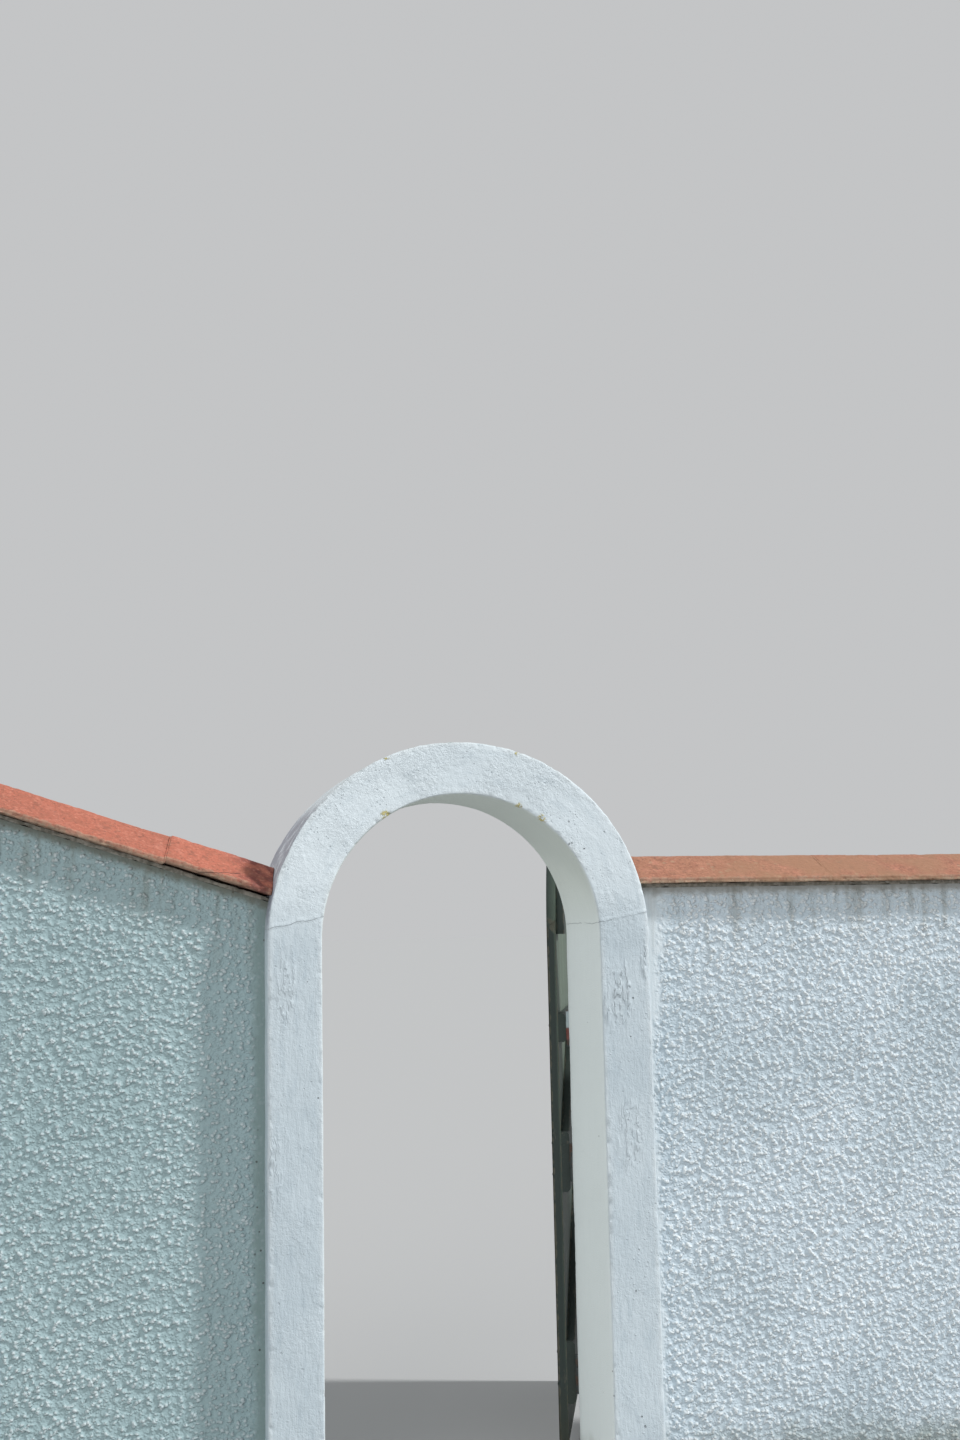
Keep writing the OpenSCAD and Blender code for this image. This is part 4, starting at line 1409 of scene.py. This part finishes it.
def build_fixings(sizes):
    rng = np.random.default_rng(sizes.seed + 1)
    shape = fixing_shape()
    nail, screw = nail_head(), screw_head()
    rows = (
        ("door_nails", leaf_nails(), -1, nail, sizes.nail, "door", "timber"),
        ("door_screws", leaf_screws(), 1, screw, sizes.screw, "door", "ironwork"),
        ("pier_screws", pier_screws(), 1, screw, sizes.screw, "gateway", "ironwork"),
    )
    for name, spots, side, head, width, body, slot in rows:
        points, out = np.array(spots), np.tile((0.0, float(side), 0.0), (len(spots), 1))
        if body == "door":
            out = hung(out + (PIN_X, PIN_Y, 0)) - (PIN_X, PIN_Y, 0)
            points = hung(points)
        turn = rng.uniform(0, math.pi, len(spots))
        carrier = mesh_object(name, points, [], {"out": out, "turn": turn})
        dressed(shaped(carrier, shape, finish_of(slot), Head_Size=width, Head=head), 40, body, slot)
    for head in (nail, screw):
        bpy.data.objects.remove(head)


# Stage

CAMERA_AT = (-1.523, -4.42, 1.55)
CAMERA_YAW, CAMERA_PITCH, CAMERA_ROLL = math.radians(14.56), math.radians(7.68), math.radians(-1.16)
CAMERA_LENS = 38.75
FLOOR_REACH = 300.0
FLOOR_PATCHES = (0.447, 0.450, 0.451)
# Lights as name, direction towards them, level and softness in degrees
LIGHTS = (
    ("key", (0.72, -0.25, 0.62), 0.95, 4),
    ("fill", (-0.60, -0.70, 0.35), 0.24, 40),
    ("back", (-0.55, 0.62, 0.55), 0.25, 12),
)
SKY_COLOUR, SKY_LEVEL = (0.95, 0.98, 1.0), 0.45


def camera_axes():
    yaw, pitch, roll = CAMERA_YAW, CAMERA_PITCH, CAMERA_ROLL
    forward = Vector((math.sin(yaw) * math.cos(pitch), math.cos(yaw) * math.cos(pitch), math.sin(pitch)))
    level = Vector((math.cos(yaw), -math.sin(yaw), 0))
    upward = level.cross(forward)
    right = math.cos(roll) * level + math.sin(roll) * upward
    up = -math.sin(roll) * level + math.cos(roll) * upward
    return right, up, -forward


def soft_light(name, toward, level, softness):
    """Distant soft light. A pale face turned to it gains level times its own colour."""
    data = bpy.data.lights.new(name, "SUN")
    data.energy, data.angle = level * math.pi, math.radians(softness)
    placed(name, data).rotation_euler = Vector(toward).to_track_quat("Z", "Y").to_euler()


def build_stage(colours):
    scene = bpy.context.scene
    camera = placed("camera", bpy.data.cameras.new("camera"))
    camera.data.lens = CAMERA_LENS
    camera.matrix_world = Matrix.Translation(CAMERA_AT) @ Matrix(camera_axes()).transposed().to_4x4()
    scene.camera = camera
    corners = [(x * FLOOR_REACH, y * FLOOR_REACH, 0) for x, y in ((-1, -1), (1, -1), (1, 1), (-1, 1))]
    floor = mesh_object("floor", corners, [(0, 1, 2, 3)])
    g = Shader("floor_finish", colours.floor, Roughness=1.0, Specular_IOR_Level=0.0)
    g.coat(g.noise(g.place, 1.5) * 0.15, FLOOR_PATCHES)
    floor.data.materials.append(g.finish())
    # World: plain light, and the backdrop's own colour where it is seen
    scene.world = bpy.data.worlds.new("backdrop")
    scene.world.use_nodes = True
    g = Graph(scene.world.node_tree)
    g.tree.nodes.clear()
    rays = g.add("ShaderNodeLightPath").socket.node.outputs
    kinds = ("Camera", "Glossy", "Transmission")
    direct, glossy, through = (Val(g, rays[f"Is {kind} Ray"]) for kind in kinds)
    seen = (direct + glossy + through).clamp()
    light = g.add("ShaderNodeBackground", {}, {"Color": SKY_COLOUR, "Strength": SKY_LEVEL})
    plain = g.add("ShaderNodeBackground", {}, {"Color": tuple(colours.backdrop), "Strength": 1.0})
    both = g.add("ShaderNodeMixShader", {}, {0: seen, 1: light, 2: plain})
    g.tree.links.new(both.socket, g.tree.nodes.new("ShaderNodeOutputWorld").inputs["Surface"])
    for lamp in LIGHTS:
        soft_light(*lamp)
    scene.view_settings.view_transform = "Standard"


# Operators and panel


class GATEWAY_OT_surround(bpy.types.Operator):
    """Adds the trowelled piers and the arch band."""

    bl_idname = "gateway.surround"
    bl_label = "Surround"
    bl_options = {"REGISTER", "UNDO"}

    def execute(self, context):
        build_surround(context.scene.gateway_sizes)
        return {"FINISHED"}


class GATEWAY_OT_walls(bpy.types.Operator):
    """Adds the roughcast walls."""

    bl_idname = "gateway.walls"
    bl_label = "Walls"
    bl_options = {"REGISTER", "UNDO"}

    def execute(self, context):
        build_walls(context.scene.gateway_sizes)
        return {"FINISHED"}


class GATEWAY_OT_beds(bpy.types.Operator):
    """Adds the mortar beds and the pointing between slabs."""

    bl_idname = "gateway.beds"
    bl_label = "Beds"
    bl_options = {"REGISTER", "UNDO"}

    def execute(self, context):
        build_beds(context.scene.gateway_sizes)
        return {"FINISHED"}


class GATEWAY_OT_coping(bpy.types.Operator):
    """Adds the pitched coping slabs."""

    bl_idname = "gateway.coping"
    bl_label = "Coping"
    bl_options = {"REGISTER", "UNDO"}

    def execute(self, context):
        build_coping(context.scene.gateway_sizes)
        return {"FINISHED"}


class GATEWAY_OT_door(bpy.types.Operator):
    """Adds the boards, ledges, braces and head rail."""

    bl_idname = "gateway.door"
    bl_label = "Door"
    bl_options = {"REGISTER", "UNDO"}

    def execute(self, context):
        build_door(context.scene.gateway_sizes)
        return {"FINISHED"}


class GATEWAY_OT_ironwork(bpy.types.Operator):
    """Adds the hinges, the bolt, its keep and the pull."""

    bl_idname = "gateway.ironwork"
    bl_label = "Ironwork"
    bl_options = {"REGISTER", "UNDO"}

    def execute(self, context):
        build_ironwork()
        return {"FINISHED"}


class GATEWAY_OT_fixings(bpy.types.Operator):
    """Adds the clenched nails and the screws."""

    bl_idname = "gateway.fixings"
    bl_label = "Fixings"
    bl_options = {"REGISTER", "UNDO"}

    def execute(self, context):
        build_fixings(context.scene.gateway_sizes)
        return {"FINISHED"}


class GATEWAY_OT_stage(bpy.types.Operator):
    """Adds the floor, the lights and the camera."""

    bl_idname = "gateway.stage"
    bl_label = "Stage"
    bl_options = {"REGISTER", "UNDO"}

    def execute(self, context):
        build_stage(context.scene.gateway_colours)
        return {"FINISHED"}


OPERATORS = (
    GATEWAY_OT_surround,
    GATEWAY_OT_walls,
    GATEWAY_OT_beds,
    GATEWAY_OT_coping,
    GATEWAY_OT_door,
    GATEWAY_OT_ironwork,
    GATEWAY_OT_fixings,
    GATEWAY_OT_stage,
)


class GATEWAY_PT_tools(bpy.types.Panel):
    """Lists the gateway's operators and settings."""

    bl_label = "Garden gateway"
    bl_idname = "GATEWAY_PT_tools"
    bl_space_type = "VIEW_3D"
    bl_region_type = "UI"
    bl_category = "Gateway"

    def draw(self, context):
        for kind in OPERATORS:
            self.layout.operator(kind.bl_idname)
        for group in (context.scene.gateway_sizes, context.scene.gateway_colours):
            column = self.layout.column()
            for key in group.bl_rna.properties.keys():
                if key not in {"rna_type", "name"}:
                    column.prop(group, key)


CLASSES = (GatewaySizes, GatewayColours, *OPERATORS, GATEWAY_PT_tools)


def register():
    for kind in CLASSES:
        bpy.utils.register_class(kind)
    bpy.types.Scene.gateway_sizes = PointerProperty(type=GatewaySizes)
    bpy.types.Scene.gateway_colours = PointerProperty(type=GatewayColours)


def unregister():
    del bpy.types.Scene.gateway_colours
    del bpy.types.Scene.gateway_sizes
    for kind in reversed(CLASSES):
        bpy.utils.unregister_class(kind)


def main():
    register()
    for kind in OPERATORS:
        group, name = kind.bl_idname.split(".")
        getattr(getattr(bpy.ops, group), name)()


if __name__ == "__main__":
    main()
